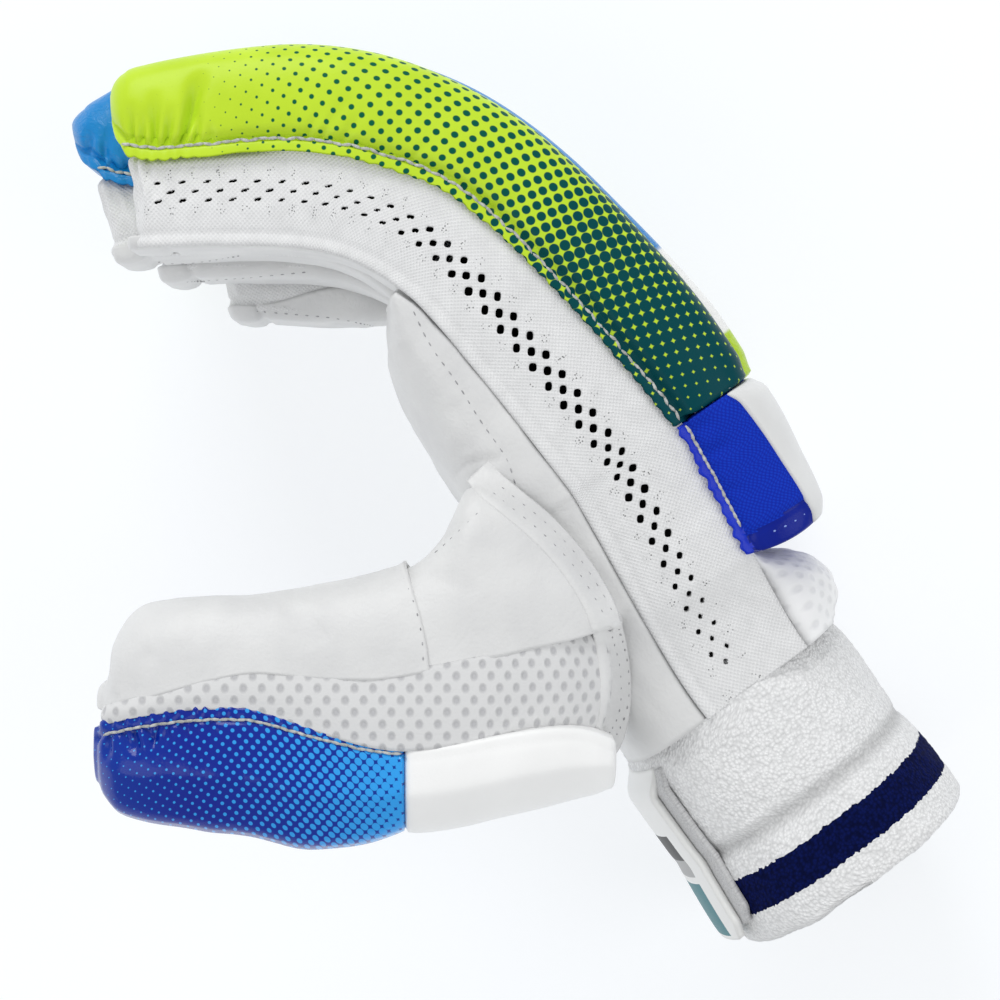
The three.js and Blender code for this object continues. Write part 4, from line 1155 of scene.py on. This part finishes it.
def solve_move(v, cloth, goal):
    """The shift in space that carries a corner to another place of its UV map."""
    here = Vector(v.link_loops[0][cloth].uv)
    axes = []
    for edge in v.link_edges:
        other = edge.other_vert(v)
        if other.link_loops:
            step = Vector(other.link_loops[0][cloth].uv) - here
            if step.length > 1e-6:
                axes.append((step, other.co - v.co))
    for a in range(len(axes)):
        for b in range(a + 1, len(axes)):
            (p, P), (q, Q) = axes[a], axes[b]
            area = p.x * q.y - p.y * q.x
            if abs(area) > 0.5 * p.length * q.length:
                want = Vector(goal) - here
                return P * ((want.x * q.y - want.y * q.x) / area) + Q * ((p.x * want.y - p.y * want.x) / area)
    return None


index_end = length_of(INDEX) + HAND_END * HAND_LENGTH
crotch_end = {f["name"]: length_of(f) * (1 + CROTCH) for f in FINGERS}
panel = side_panel(INDEX, (index_end, crotch_end["index"]), 0.45, 54, holes=True)
hole_seats = []
rng = random.Random(5)
for i in range(HOLE_COLUMNS):
    for row in range(3):
        d = FIRST_HOLE + HOLE_PITCH * (i + (row % 2) / 2)
        if d > index_end - 6:
            continue
        u = share_at(INDEX, d)
        hand = ease(60, 105, d)
        small = mix(1, 0.62, ease(160, 208, d))
        wide = mix(0.95, 0.92, hand) * small * rng.uniform(0.9, 1.1)
        high = mix(0.42, 1.06, hand) * small * rng.uniform(0.92, 1.06)
        slant = math.radians(-column(HEADING, "turn", u)) * hand + mix(0.25, 0, hand)
        hole_seats.append((d + rng.uniform(-0.12, 0.12), HOLE_ROW_SPACING * (row - 1), wide, high, slant))
perforate(panel, hole_seats)
INDEX_SIDES = ["index_side_panel", "index_gusset_littleward"]
finished("index_side_knit", panel, [PUNCHED_KNIT, LINING], INDEX_SIDES, wall=1.2)
for finger in (MIDDLE, RING, LITTLE):
    name = finger["name"]
    far_end, far_node = crotch_end[name], f"{name}_gusset_littleward"
    if finger is LITTLE:
        far_end, far_node = length_of(LITTLE) + HAND_END * HAND_LENGTH, "little_side_panel"
    sides = side_panel(finger, (crotch_end[name], far_end), 1, 26)
    nodes = [f"{name}_gusset_thumbward", far_node]
    finished(f"{name}_side_knit", sides, [KNIT, LINING], nodes, wall=1.2)


# Leather of the palm and under the fingers.
def palm_section(u):
    """The palm leather's section from one side to the other, and its upper edge's height."""
    half = HAND_MIDDLE - SIDE_GAP + 0.4
    top = -GUSSET_DEPTH * column(HAND, "side", u) - 0.3 - CROTCH_SLACK * max(0, u / CROTCH)
    deep = PALM_DEPTH * column(HAND, "palm", u) + top
    points = []
    for i in range(81):
        angle = math.pi * i / 80
        down, across = power(math.sin(angle), 0.6), power(math.cos(angle), 0.6)
        points.append((top - deep * down, HAND_MIDDLE + half * across))
    tuck = [(top + 3.5, half - 2.2), (top + 0.6, half - 1.8)]
    near = [(n, HAND_MIDDLE + z) for n, z in tuck]
    far = [(n, HAND_MIDDLE - z) for n, z in reversed(tuck)]
    return near + points + far, top


PALM_SEAM = [(412, 308), (430, 345), (455, 380), (480, 420), (494, 440), (507, 459), (514, 480), (519, 498)]
PALM_CREASES = [
    (curved(PALM_SEAM), 0.4, 3),
    (curved([(452, 478), (458, 470), (466, 464), (476, 461), (489, 459), (504, 460)]), 0.8, 3.5),
    (curved([(396, 345), (412, 372), (424, 405), (436, 440)]), 0.5, 9),
    (curved([(455, 400), (462, 430), (462, 455)]), 0.4, 9),
    (curved([(610, 650), (640, 690), (668, 728)]), 0.4, 8),
]


def palm_cover():
    columns, lines, bend = 150, 124, 10
    rings = []
    for i in range(columns + 1):
        share = max(0, (i - bend) / (columns - bend))
        u = mix(CROTCH, HAND_END, share)
        size = min(1, i / bend) ** 0.5
        points, top = palm_section(u)
        ring, reach = even(points, lines)
        past = -math.sqrt(max(0, 1 - size * size)) * 3 / INDEX_LENGTH
        row = []
        for k, (n, z) in enumerate(ring):
            row.append((u + past, mix(top, n, size), mix(HAND_MIDDLE, z, size), reach * k / lines))
        rings.append(row)

    def surface(i, j):
        u, n, z, t = rings[i][j]
        s = u * (HAND_LENGTH if u > 0 else INDEX_LENGTH)
        soft = 0.5 * noise.noise((s * 0.06, t * 0.06, 2)) + 0.25 * noise.noise((s * 0.15, t * 0.1, 9))
        spot = on_hand(u, n, z)
        drawn = creased(spot, PALM_CREASES) if z > HAND_MIDDLE + 8 else 0
        return spot, s, t, soft * ease(0, 4, min(t, 130 - t)) + drawn

    return skin("palm", columns, lines, surface)


PALM = ["palm_leather"]
finished("palm_cover_leather", palm_cover(), [WHITE_LEATHER, LINING], PALM, wall=1.4)

WRAP = 7.5  # how far the leather comes up the sides of a finger behind its tip


def finger_sole(finger):
    """The leather under a finger, which wraps up its sides and ends in a rounded seam at the tip."""
    place = PLACE[finger["name"]]
    length, middle = length_of(finger), middle_of(finger)
    columns, lines, nose = 90, 44, 8
    hidden = finger is INDEX  # its side panel covers the leather's edges
    inside = 2.0 if hidden else 0
    rings = []
    for i in range(columns + 1):
        share = max(0, (i - nose) / (columns - nose))
        size = min(1, i / nose) ** 0.5
        d = mix(0.8, length * (1 + CROTCH) + 4, share)
        knob = 0 if hidden else bell(d, 3.2, 4.2)
        wide = 12.3 * min(1, 0.86 + 0.14 * max(0, d + 1.5) / 8) + 0.35 + 0.9 * knob
        u = share_at(finger, d)
        depth = side_depth(finger, min(u, CROTCH))
        low = -depth - (0.2 if hidden else 1.9 + 1.1 * knob)
        wrap = mix(1.5, WRAP, ease(4, 34, d))
        corner = []
        for k in range(13):
            angle = math.pi / 2 * k / 12
            corner.append((low + 2.4 - 2.4 * math.sin(angle), wide - 2.4 + 2.4 * math.cos(angle)))
        near = [(-depth + (3 if hidden else wrap), wide), *corner]
        far = [(-depth + wrap, wide), *corner]
        points = [(n, z - inside) for n, z in near] + [(n, -z) for n, z in reversed(far)]
        ring, reach = even(points, lines)
        centre = -depth + 1.5
        past = -math.sqrt(max(0, 1 - size * size)) * 2.2
        row = []
        for k, (n, z) in enumerate(ring):
            row.append((u + past / length, mix(centre, n, size), z * size, d + past, reach * k / lines, size))
        rings.append(row)

    def surface(i, j):
        u, n, z, s, t, size = rings[i][j]
        soft = 0.35 * noise.noise((s * 0.09, t * 0.12, 20 + finger["slot"]))
        groove = -0.9 * bell(s, 8.6, 1.0)
        return place(u, n, middle + z), s, t, (soft + groove) * (size == 1)

    return skin("sole", columns, lines, surface)


for finger in FINGERS:
    sole = finger_sole(finger)
    finished(f"{finger['name']}_sole", sole, [WHITE_LEATHER, SUEDE], PALM, wall=1)


# The thumb.
def on_thumb(at, n, z):
    return THUMB_TIP[0] + at * THUMB_LENGTH, THUMB_TIP[1] + n, z


def thumb_sides(at, inset=0):
    at = max(0, at)
    return (
        THUMB_MIDDLE - THUMB_WIDTH / 2 * column(THUMB, "far", at) + inset,
        THUMB_MIDDLE + THUMB_WIDTH / 2 * column(THUMB, "near", at) - inset,
    )


def thumb_front(at, inset, steps):
    far, near = thumb_sides(at, inset)
    start = column(THUMB, "mesh", at) * THUMB_HEIGHT - 0.4
    high = column(THUMB, "front", at) * THUMB_HEIGHT - start - inset
    points = []
    for i in range(81):
        angle = math.pi * i / 80
        z = (near + far) / 2 + (near - far) / 2 * power(math.cos(angle), 0.7)
        points.append((start + high * power(math.sin(angle), 0.75), z))
    return even(points, steps)


THUMB_CREASES = [
    (curved([(152, 648), (140, 666), (131, 688), (127, 706)]), 0.7, 8),
    (curved([(107, 655), (108, 685), (115, 704)]), 0.5, 4),
    (curved([(280, 600), (300, 622), (312, 650)]), 0.35, 12),
    (curved([(300, 606), (330, 640)]), 0.3, 7),
    (curved([(478, 506), (468, 516), (455, 528), (440, 541), (424, 554)]), 0.5, 2.5),
    (curved([(420, 572), (450, 582), (480, 592)]), 0.5, 9),
    (curved([(470, 545), (500, 552), (525, 566)]), 0.3, 8),
]


def thumb_cover(start, end, inset, columns, nose, slant=0.0):
    lines = 90
    rings = []
    for i in range(columns + 1):
        share = max(0, (i - nose) / (columns - nose))
        size = min(1, i / nose) ** 0.5 if nose else 1
        base = mix(start, end, share)
        ring, reach = thumb_front(base, inset, lines)
        far, near = thumb_sides(base)
        low, high = ring[0][0], max(n for n, _ in ring)
        centre, across = mix(low, high, 0.3), (far + near) / 2
        past = -math.sqrt(max(0, 1 - size * size)) * 2.4 / THUMB_LENGTH
        row = []
        for k, (n, z) in enumerate(ring):
            lean = slant * (0.5 - ((n - low) / (high - low)) ** 1.6) * ease(0.4, 1, share)
            n, z = mix(centre, n, size), mix(across, z, size)
            row.append((base + past + lean, n, z, reach * k / lines, size))
        rings.append(row)

    def surface(i, j):
        at, n, z, t, size = rings[i][j]
        s = at * THUMB_LENGTH
        soft = 0.4 * noise.noise((s * 0.05, t * 0.05, 30)) + 0.2 * noise.noise((s * 0.14, t * 0.12, 31))
        spot = on_thumb(at, n, z)
        drawn = creased(spot, THUMB_CREASES) if z > THUMB_MIDDLE else 0
        return spot, s, t, soft * (size == 1) + drawn

    return skin("thumb", columns, lines, surface)


front, root = thumb_cover(0, 0.603, 0, 116, 12, 0.052), thumb_cover(0.5, 1, 0.45, 88, 0)
for name, cover, node in ("front", front, "thumb_leather"), ("root", root, "thumb_base_leather"):
    finished(f"thumb_{name}_leather", cover, [WHITE_LEATHER, SUEDE], [node], wall=1.2)


def thumb_band(low_of, high_of, out, step, lines):
    """A strip that runs round the thumb: from the near side's root round the tip to the far side's."""
    line = [(at / 100, 1) for at in range(100, 5, -1)]
    for k in range(1, 12):
        angle = math.pi / 2 * k / 12
        line.append((0.05 * (1 - math.sin(angle)), math.cos(angle) * 0.42 + 0.58))
    line += [(0, 0.5), (0, 0.25), (0, 0)]
    line += [(at, -side) for at, side in reversed(line[:-1])]
    spots = []
    for at, side in line:
        far, near = thumb_sides(max(at, 0.12))
        narrow = mix(0.9, 1, ease(0, 0.1, at))
        half = ((near - THUMB_MIDDLE) if side > 0 else (THUMB_MIDDLE - far)) * narrow
        spots.append((at * THUMB_LENGTH, THUMB_MIDDLE + side * half))
    count = round(sum(math.dist(a, b) for a, b in zip(spots, spots[1:])) / step)
    path, reach = even(spots, count)

    def surface(i, j):
        x, z = path[i]
        a, b = path[max(0, i - 1)], path[min(count, i + 1)]
        along = math.dist(a, b) or 1
        away = ((b[1] - a[1]) / along, -(b[0] - a[0]) / along)
        at = x / THUMB_LENGTH
        low, high = low_of(at), high_of(at)
        n = mix(high, low, j / lines)
        if z > THUMB_MIDDLE and at > 0.7:
            at = mix(0.7, 0.9775 - 0.03 * ((n - 9) / 15) ** 2, (at - 0.7) / (1 - 0.7))
            x = at * THUMB_LENGTH
        bow = out(j / lines)
        return on_thumb((x + away[0] * bow) / THUMB_LENGTH, n, z + away[1] * bow), reach * i / count, n, 0

    return skin("band", count, lines, surface)


def mesh_line(at):
    return column(THUMB, "mesh", at) * THUMB_HEIGHT + 0.6


def seam_of(at):
    return column(THUMB, "seam", at) * THUMB_HEIGHT - 0.6


finished(
    "thumb_side_mesh",
    thumb_band(seam_of, mesh_line, lambda t: -0.3 + 0.7 * math.sin(math.pi * t), 1, 20),
    [AIR_MESH, SUEDE], ["thumb_mesh"], wall=1,
)


def thumb_box(table, columns, lines, relief, nose, tail):
    """A thumb pad: a closed skin with flat sides, a ridge and a sloping lower facet."""
    start, end = table[0]["at"], table[-1]["at"]
    rings = []
    for i in range(columns + 1):
        share = min(1, max(0, (i - nose) / (columns - nose - tail)))
        size = min(1, i / nose, (columns - i) / tail) ** 0.5
        at = mix(start, end, share)
        half = THUMB_WIDTH / 2 * column(table, "wide", at)
        seam = column(THUMB, "seam", max(0, at)) * THUMB_HEIGHT + column(table, "top", at) * THUMB_PAD_DEPTH
        deep = column(table, "deep", at) * THUMB_PAD_DEPTH
        side = [(seam - k / 40 * deep, half * column(THUMB_SECTION, "out", k / 40)) for k in range(41)]
        points = [(seam, 0), (seam, half * 0.93), *side]
        points += [(n, -z) for n, z in reversed(points)]
        ring, reach = even(points, lines)
        centre = seam - deep * 0.45
        past = math.sqrt(max(0, 1 - size * size)) * (-1.6 if i < nose else 1.2) / THUMB_LENGTH
        row = []
        for k, (n, z) in enumerate(ring):
            z = THUMB_MIDDLE + z * size
            row.append((at + past, mix(centre, n, size), z, reach * k / lines, seam, size))
        rings.append(row)

    def surface(i, j):
        at, n, z, t, seam, size = rings[i][j]
        s = at * THUMB_LENGTH
        return on_thumb(at, n, z), s - start * THUMB_LENGTH, n - seam, relief(s, seam - n, z) * (size == 1)

    return skin("box", columns, lines, surface)


THUMB_GATHERS = folds(51, 2, 28, 2.7, 1.5, 8)


def thumb_drop(at):
    """Height of the thumb pad's flange, from its upper edge to its stitch line."""
    return mix(2.9, 1.2, ease(0.2, 0.57, at))


def thumb_gathered(s, h, z):
    if abs(z - THUMB_MIDDLE) < THUMB_WIDTH * 0.3 and s > 4:
        return 0
    drop = thumb_drop(s / THUMB_LENGTH)
    tucked = 1 - ease(22, 30, s)
    groove = -0.7 * bell(h, drop, 0.8)
    wander = 2 * noise.noise((s * 0.3, 3, z * 0.02))
    frill = (0.12 + 0.26 * tucked) * math.sin(s * 2.1 + wander) * (1 - ease(0.6, 2.2, h))
    pull = gathered(THUMB_GATHERS, s, max(0, h - drop)) * ease(drop - 0.4, drop + 1, h)
    return groove + frill + pull + 0.12 * noise.noise((s * 0.2, h * 0.2, 4))


def thumb_pad_seam(side):
    """Seats of the cord along the thumb pad's stitch line."""
    line = []
    for k in range(81):
        at = mix(0.01, 0.574, k / 80)
        drop = thumb_drop(at) + 0.25 * noise.noise((k * 0.4, 6, side))
        deep = column(THUMB_PAD, "deep", at) * THUMB_PAD_DEPTH
        half = THUMB_WIDTH / 2 * column(THUMB_PAD, "wide", at) * column(THUMB_SECTION, "out", drop / deep)
        n = column(THUMB, "seam", at) * THUMB_HEIGHT - drop
        line.append(metres(on_thumb(at, n, THUMB_MIDDLE + side * (half - 0.3))))
    return side_seats(line, side, 2, 0.1, 9)


pad = thumb_box(THUMB_PAD, 190, 170, thumb_gathered, 8, 4)
finished("thumb_pad_cover", pad, [BLUE_PRINT], ["thumb_pad"])
for side, label in (1, "near"), (-1, "far"):
    cord(f"thumb_pad_cord_{label}", thumb_pad_seam(side), 0.42)


def guard_relief(s, h, _):
    return 0.25 * noise.noise((s * 0.07, h * 0.07, 60)) - 0.35 * bell(h, 2.6, 0.6)


guard = thumb_box(THUMB_GUARD, 70, 110, guard_relief, 5, 8)
finished("thumb_guard_cover", guard, [WHITE_PU], ["thumb_guard"])


# Back of the hand.
PANEL_EDGE = SIDE_GAP + GUSSET_THICKNESS + 0.7
PANEL_TOP = STITCH_LINE - 0.3


def back_cover():
    columns, lines = 120, 90

    def surface(i, j):
        u = mix(0.01, HAND_END, i / columns)
        z = mix(PANEL_EDGE, HAND_WIDTH - PANEL_EDGE, j / lines)
        across = abs((2 * z - HAND_WIDTH) / (HAND_WIDTH - 2 * PANEL_EDGE))
        dome = max(0, 1 - across**2.6) ** 0.5
        puff = PUFF_HEIGHT * max(0, column(HAND, "puff", u)) * dome
        soft = 0.0
        if u > 0.79:
            folded = noise.noise((u * 14, z * 0.09, 1)) + 0.5 * noise.noise((u * 30, z * 0.2, 2))
            soft = ease(0.79, 0.86, u) * folded
        return on_hand(u, PANEL_TOP + arch_at(z, max(0, u)) + puff, z), u * HAND_LENGTH, z, soft

    return skin("back", columns, lines, surface)


finished("back_mesh", back_cover(), [PUFF_MESH, LINING], ["back_panel"], wall=1.2)


def cover_angle(u):
    """Where the white cover's edge lies on the hand pad's section: higher towards the wrist."""
    line = PAD_COVER_LINE + mix(0, 4.2, (u - PAD_START) / (PAD_END - PAD_START))
    return math.asin((line / PAD_HEIGHT) ** (1 / 0.42))


def pad_arc(inset, start, share):
    """The hand pad's section from one side over the top to the other."""
    steps = 80
    half = HAND_MIDDLE - ROLL_SIDE - inset
    high = PAD_HEIGHT * share - inset
    points = []
    for i in range(steps + 1):
        angle = mix(start, math.pi - start, i / steps)
        up, across = power(math.sin(angle), 0.42), power(math.cos(angle), 0.42)
        points.append((STITCH_LINE + high * up, HAND_MIDDLE + half * across))
    return points


def closed_pad(section, columns, lines, relief, round_end=1.2):
    """A pad across the hand: rings of one section, with both ends closed and softly rounded."""
    nose = 6
    rings = []
    for i in range(columns + 1):
        share = min(1, max(0, (i - nose) / (columns - 2 * nose)))
        size = min(1, i / nose, (columns - i) / nose) ** 0.4
        u = mix(PAD_START, PAD_END, share)
        ring, reach = even(section(u, column(PAD_ENDS, "high", share)), lines)
        past = math.sqrt(max(0, 1 - size * size)) * (-round_end if i < nose else round_end) / HAND_LENGTH
        centre = STITCH_LINE + PAD_HEIGHT * 0.5
        swell = 1.8 * ease(0.7, 1, share) / HAND_LENGTH
        row = []
        for k, (n, z) in enumerate(ring):
            belly = swell * max(0, 1 - ((n - centre + 2) / 12) ** 2)
            n, z = mix(centre, n, size), mix(HAND_MIDDLE, z, size)
            row.append((u + past + belly, n, z, reach * k / lines, size))
        rings.append(row)

    def surface(i, j):
        u, n, z, t, size = rings[i][j]
        s = (u - PAD_START) * HAND_LENGTH
        return on_hand(u, n, z), s, t, relief(s, n, z) * (size == 1)

    return skin("pad", columns, lines, surface)


def pad_section(u, high):
    left, right = ROLL_SIDE, HAND_WIDTH - ROLL_SIDE
    top = pad_arc(0.4, 0.02, high)
    places = (left + 1.3, *(k[0] for k in ARCH[1:-1]), right - 1.3)
    under = [(STITCH_LINE + arch_at(z, u) - 0.2, z) for z in places]
    s = (u - PAD_START) * HAND_LENGTH
    scallop = 0.3 * math.sin(s * 1.9 + 2.5 * noise.noise((s * 0.3, 0, 0)))
    lip = 0.1 + scallop + 0.5 * noise.noise((s * 0.4, 9, 0))
    near = [(lip, right - 0.2), (STITCH_LINE, right - 0.9)]
    far = [(STITCH_LINE, left + 0.9), (lip, left + 0.2), (lip, left + 1.3)]
    return [*near, *top[1:-1], *far, *under, (lip, right - 1.3), (lip, right - 0.2)]


PAD_GATHERS = folds(71, 3, 30, 4.6, 0.9, 8)


def band_line(h):
    """Where the plain band at the hand pad's wrist end starts, at a height over the stitch line."""
    return 30.4 - 0.05 * h


def pad_relief(s, n, z):
    h = n - STITCH_LINE
    if h < 0:
        return 0.5 * noise.noise((s * 0.35, 8, z * 0.05)) * (-h / 3)
    side = abs(z - HAND_MIDDLE) > HAND_MIDDLE - 6
    crease = -0.8 * bell(h, 0, 1.1) if side else 0
    pull = gathered(PAD_GATHERS, s, h, 1.3) if side else 0
    band = -0.5 * bell(s, band_line(h), 0.7)
    return crease + pull * ease(0, 2, h) + band + 0.35 * noise.noise((s * 0.1, h * 0.1, z * 0.1))


pad = closed_pad(pad_section, 70, 330, pad_relief)
cloth = pad.loops.layers.uv.active
for face in pad.faces:
    along = sum(loop[cloth].uv.x for loop in face.loops) / len(face.loops)
    seam, over = (Vector(on_hand(PAD_START + along / HAND_LENGTH, n, 0)) for n in (0, 1))
    rise = (face.calc_center_median() * 1000 - OFFSET - seam).dot(over - seam)
    if rise < STITCH_LINE:
        face.material_index = 2
    elif along > band_line(rise - STITCH_LINE):
        face.material_index = 1
finished("hand_pad_cloth", pad, [ROYAL, ROYAL_PU, TUCKED_PU], ["hand_pad"])


def pad_seam(side):
    """Seats of the cord along the hand pad's stitch line."""
    line = []
    for k in range(61):
        u = mix(PAD_START + 0.006, PAD_START + 0.222, k / 60)
        n = STITCH_LINE - 0.2 + 0.25 * noise.noise((k * 0.35, 4, side))
        line.append(metres(on_hand(u, n, HAND_MIDDLE + side * (HAND_MIDDLE - ROLL_SIDE - 1.0))))
    return side_seats(line, side, 2, 0.1, 7)


for side, label in (1, "thumbward"), (-1, "littleward"):
    cord(f"hand_pad_cord_{label}", pad_seam(side), 0.5)


def cover_section(u, high):
    outer = pad_arc(-0.3, cover_angle(u), high)
    inner = pad_arc(1.2, cover_angle(u), high)
    return [*outer, *reversed(inner), outer[0]]


def cover_relief(s, n, z):
    return 0.18 * noise.noise((s * 0.08, n * 0.1, z * 0.05))


cover = closed_pad(cover_section, 50, 220, cover_relief, 0.8)
finished("hand_pad_white_cover", cover, [SHADED_COVER_PU], ["hand_pad_cover"])


# Cuff and strap.
def cuff_ring(share, inset, count):
    deep = CUFF_DEPTH / 2 * column(CUFF, "deep", share) - inset
    sideways = inset / WRIST_NARROWING
    wide = (HAND_MIDDLE - SIDE_GAP + 1) * column(CUFF, "wide", share) - sideways
    pressed = ROLL_SIDE + sideways
    points = []
    for i in range(181):
        angle = 2 * math.pi * i / 180
        across = (wide + (FLATTENING if math.cos(angle) < -0.2 else 0)) * power(math.cos(angle), 0.8)
        n = CUFF_CENTRE + deep * power(math.sin(angle), 0.8)
        points.append((n, max(pressed, HAND_MIDDLE + across)))
    return even(points, count)


def cuff_share(share):
    return 1 + share * CUFF_LENGTH / HAND_LENGTH


def cuff_cover():
    """A tube of terry turned in over its rim: along the outside, round the rim and back inside."""
    outside, rim, inside, lines = 74, 8, 24, 330
    columns = outside + rim + inside
    rings = []
    for i in range(columns + 1):
        if i <= outside:
            share, inset = mix(-0.015, 0.985, i / outside), 0
        elif i <= outside + rim:
            angle = math.pi * (i - outside) / rim
            share, inset = 0.985 + 0.015 * math.sin(angle), CUFF_WALL / 2 * (1 - math.cos(angle))
        else:
            share, inset = mix(0.985, -0.015, (i - outside - rim) / inside), CUFF_WALL
        ring, reach = cuff_ring(max(0, min(1, share)), inset, lines)
        rings.append((share, ring, reach, inset))

    def surface(i, j):
        share, ring, reach, inset = rings[i]
        n, z = ring[j]
        t = reach * j / lines
        s = share * CUFF_LENGTH
        angle = 2 * math.pi * j / lines
        around = Vector((math.cos(angle), math.sin(angle), 0)) * 46
        loops = 0.25 * noise.noise((around.x * 0.9, around.y * 0.9, s * 0.9))
        loops += 0.5 * noise.noise((around.x * 0.12, around.y * 0.12, s * 0.12))
        groove = -0.7 * bell(s, GROOVE, 2.2) if inset == 0 else 0
        return on_hand(cuff_share(share), n, z), s, t, loops + groove

    return skin("cuff", columns, lines, surface)


finished("cuff_terry", cuff_cover(), [TERRY], ["cuff"])


def strap_sheet(lift, start, end, reach):
    """A tab bent round the cuff's palm side, reach millimetres to each side of its middle."""
    columns = lines = 60
    rings = []
    for i in range(columns + 1):
        share = mix(start, end, i / columns)
        ring, total = cuff_ring(share, -mix(0.4, lift, ease(0, 0.14, i / columns)), 720)
        rings.append((share, ring, total))

    def surface(i, j):
        share, ring, total = rings[i]
        across = mix(-reach, reach, j / lines)
        corner = ease(0.9, 1, i / columns) * 3
        across *= 1 - corner / reach
        k = 540 + across / total * 720
        low = int(k)
        n, z = (mix(a, b, k - low) for a, b in zip(ring[low], ring[low + 1]))
        return on_hand(cuff_share(share), n, z), (share - start) * CUFF_LENGTH, across, 0

    return skin("strap", columns, lines, surface)


strap_end = STRAP_START + STRAP_LENGTH / CUFF_LENGTH
felt = strap_sheet(1.9, STRAP_START + 0.03, strap_end - 0.05, 41)
finished("strap_felt", felt, [FELT], ["strap_backing"], wall=1.5)
strap = strap_sheet(4.2, STRAP_START + 0.02, strap_end, 37)
finished("strap_leather", strap, [STRAP], ["wrist_strap"], wall=2)

# Seams and stitches that show on the thumb's side.
STRIP_EDGE = [
    (578, 748), (593, 733), (600, 702), (599, 667), (591, 628), (579, 600), (557, 567), (529, 537),
    (500, 513), (481, 497), (466, 481),
]
STRIP_LIES_ON = ["palm_cover_leather", "thumb_root_leather", "thumb_side_mesh"]
strip("thumb_seam_strip", STRIP_EDGE, STRIP_LIES_ON, WHITE_LEATHER, 31, 0.8)
SEWN = rows(
    "name on pitch length radius line",
    ("palm_stitches", ["palm_cover_leather"], 2.7, 1.5, 0.22, PALM_SEAM),
    ("thumb_seam_stitches_inner", ["thumb_seam_strip"], 3.2, 1.0, 0.26,
     [(604, 742), (619, 715), (621, 690), (619, 662), (607, 622), (592, 593), (569, 560), (538, 529),
      (508, 505), (490, 490)]),
    ("thumb_seam_stitches_outer", ["thumb_seam_strip"], 3.2, 1.0, 0.26,
     [(615, 738), (627, 712), (629, 688), (627, 658), (615, 618), (600, 589), (576, 554), (545, 522),
      (515, 498), (498, 484)]),
    ("thumb_root_stitches", ["thumb_root_leather"], 2.8, 1.2, 0.24,
     [(481, 510), (469, 521), (459, 531), (445, 544), (432, 555)]),
    ("thumb_front_stitches", ["thumb_front_leather"], 3.3, 1.1, 0.26,
     [(399, 568), (410, 592), (419, 620), (423, 648), (423, 666)]),
    ("middle_sole_stitches", ["middle_sole"], 2.8, 1.2, 0.24,
     [(157, 262), (181, 264), (215, 260), (246, 254)]),
    ("ring_sole_stitches", ["ring_sole"], 2.8, 1.2, 0.24, [(185, 282), (244, 278), (309, 272)]),
    ("little_sole_stitches", ["little_sole"], 2.8, 1.2, 0.24,
     [(251, 311), (300, 315), (340, 319), (382, 328)]),
)
for seam in SEWN:
    sizes = seam["pitch"], seam["length"], seam["radius"]
    sewn(seam["name"], seam["line"], seam["on"], SHADED_THREAD, "leather", *sizes)
PAD_END_DOTS = [(769, 533), (777, 530), (786, 526), (797, 520), (808, 511)]
PAD_CLOTH = ["hand_pad_cloth"]
sewn("hand_pad_end_stitches", PAD_END_DOTS, PAD_CLOTH, PALE_BLUE_THREAD, "royal_fabric", 2.8, 0.9, 0.3)
ROLL_END_DOTS = [(690, 414), (701, 410), (712, 403), (723, 394), (733, 384)]
sewn("index_roll_end_stitches", ROLL_END_DOTS, ["index_roll_cover"], GREY_THREAD, "roll_lime", 2.8, 1.3, 0.3)

# Floor, light and camera.
BACKDROP = "#f7f9fb"
floor_mesh = bmesh.new()
bmesh.ops.create_grid(floor_mesh, x_segments=1, y_segments=1, size=5)
mesh = bpy.data.meshes.new("studio_floor")
floor_mesh.to_mesh(mesh)
floor_mesh.free()
floor = linked("studio_floor", mesh)
paper, *_ = surface_finish(
    "backdrop_paper", 1, Base_Color=colour("#a4a6a8"), Specular_IOR_Level=0,
    Emission_Color=colour(BACKDROP), Emission_Strength=0.7,
)
mesh.materials.append(paper)


def lamp(name, energy, place, size):
    """A round softbox aimed at the glove."""
    data = bpy.data.lights.new(name, "AREA")
    data.energy = energy
    data.shape = "DISK"
    data.size = size
    light = linked(name, data)
    light.location = place
    light.rotation_mode = "QUATERNION"
    light.rotation_quaternion = (Vector((0, 0, 0.05)) - Vector(place)).to_track_quat("-Z", "Y")


lamp("key_softbox", 6.7, (-0.35, 1.05, 0.7), 0.7)
lamp("fill_softbox", 2.4, (0.75, -0.1, 0.8), 0.8)
lamp("front_softbox", 2.0, (-0.6, -0.35, 0.9), 0.8)

world = bpy.data.worlds.new("studio")
world.use_nodes = True
sky = world.node_tree.nodes["Background"].inputs
sky[0].default_value = colour(BACKDROP)
sky[1].default_value = 0.56
bpy.context.scene.world = world

SENSOR = 36
camera_data = bpy.data.cameras.new("camera")
camera_data.sensor_width = SENSOR
camera_data.lens = FOCUS / (2 * CENTRE) * SENSOR
camera_data.clip_start = 0.01
camera = linked("camera", camera_data)
camera.location = metres(EYE)
bpy.context.scene.camera = camera
bpy.context.scene.view_settings.view_transform = "Standard"
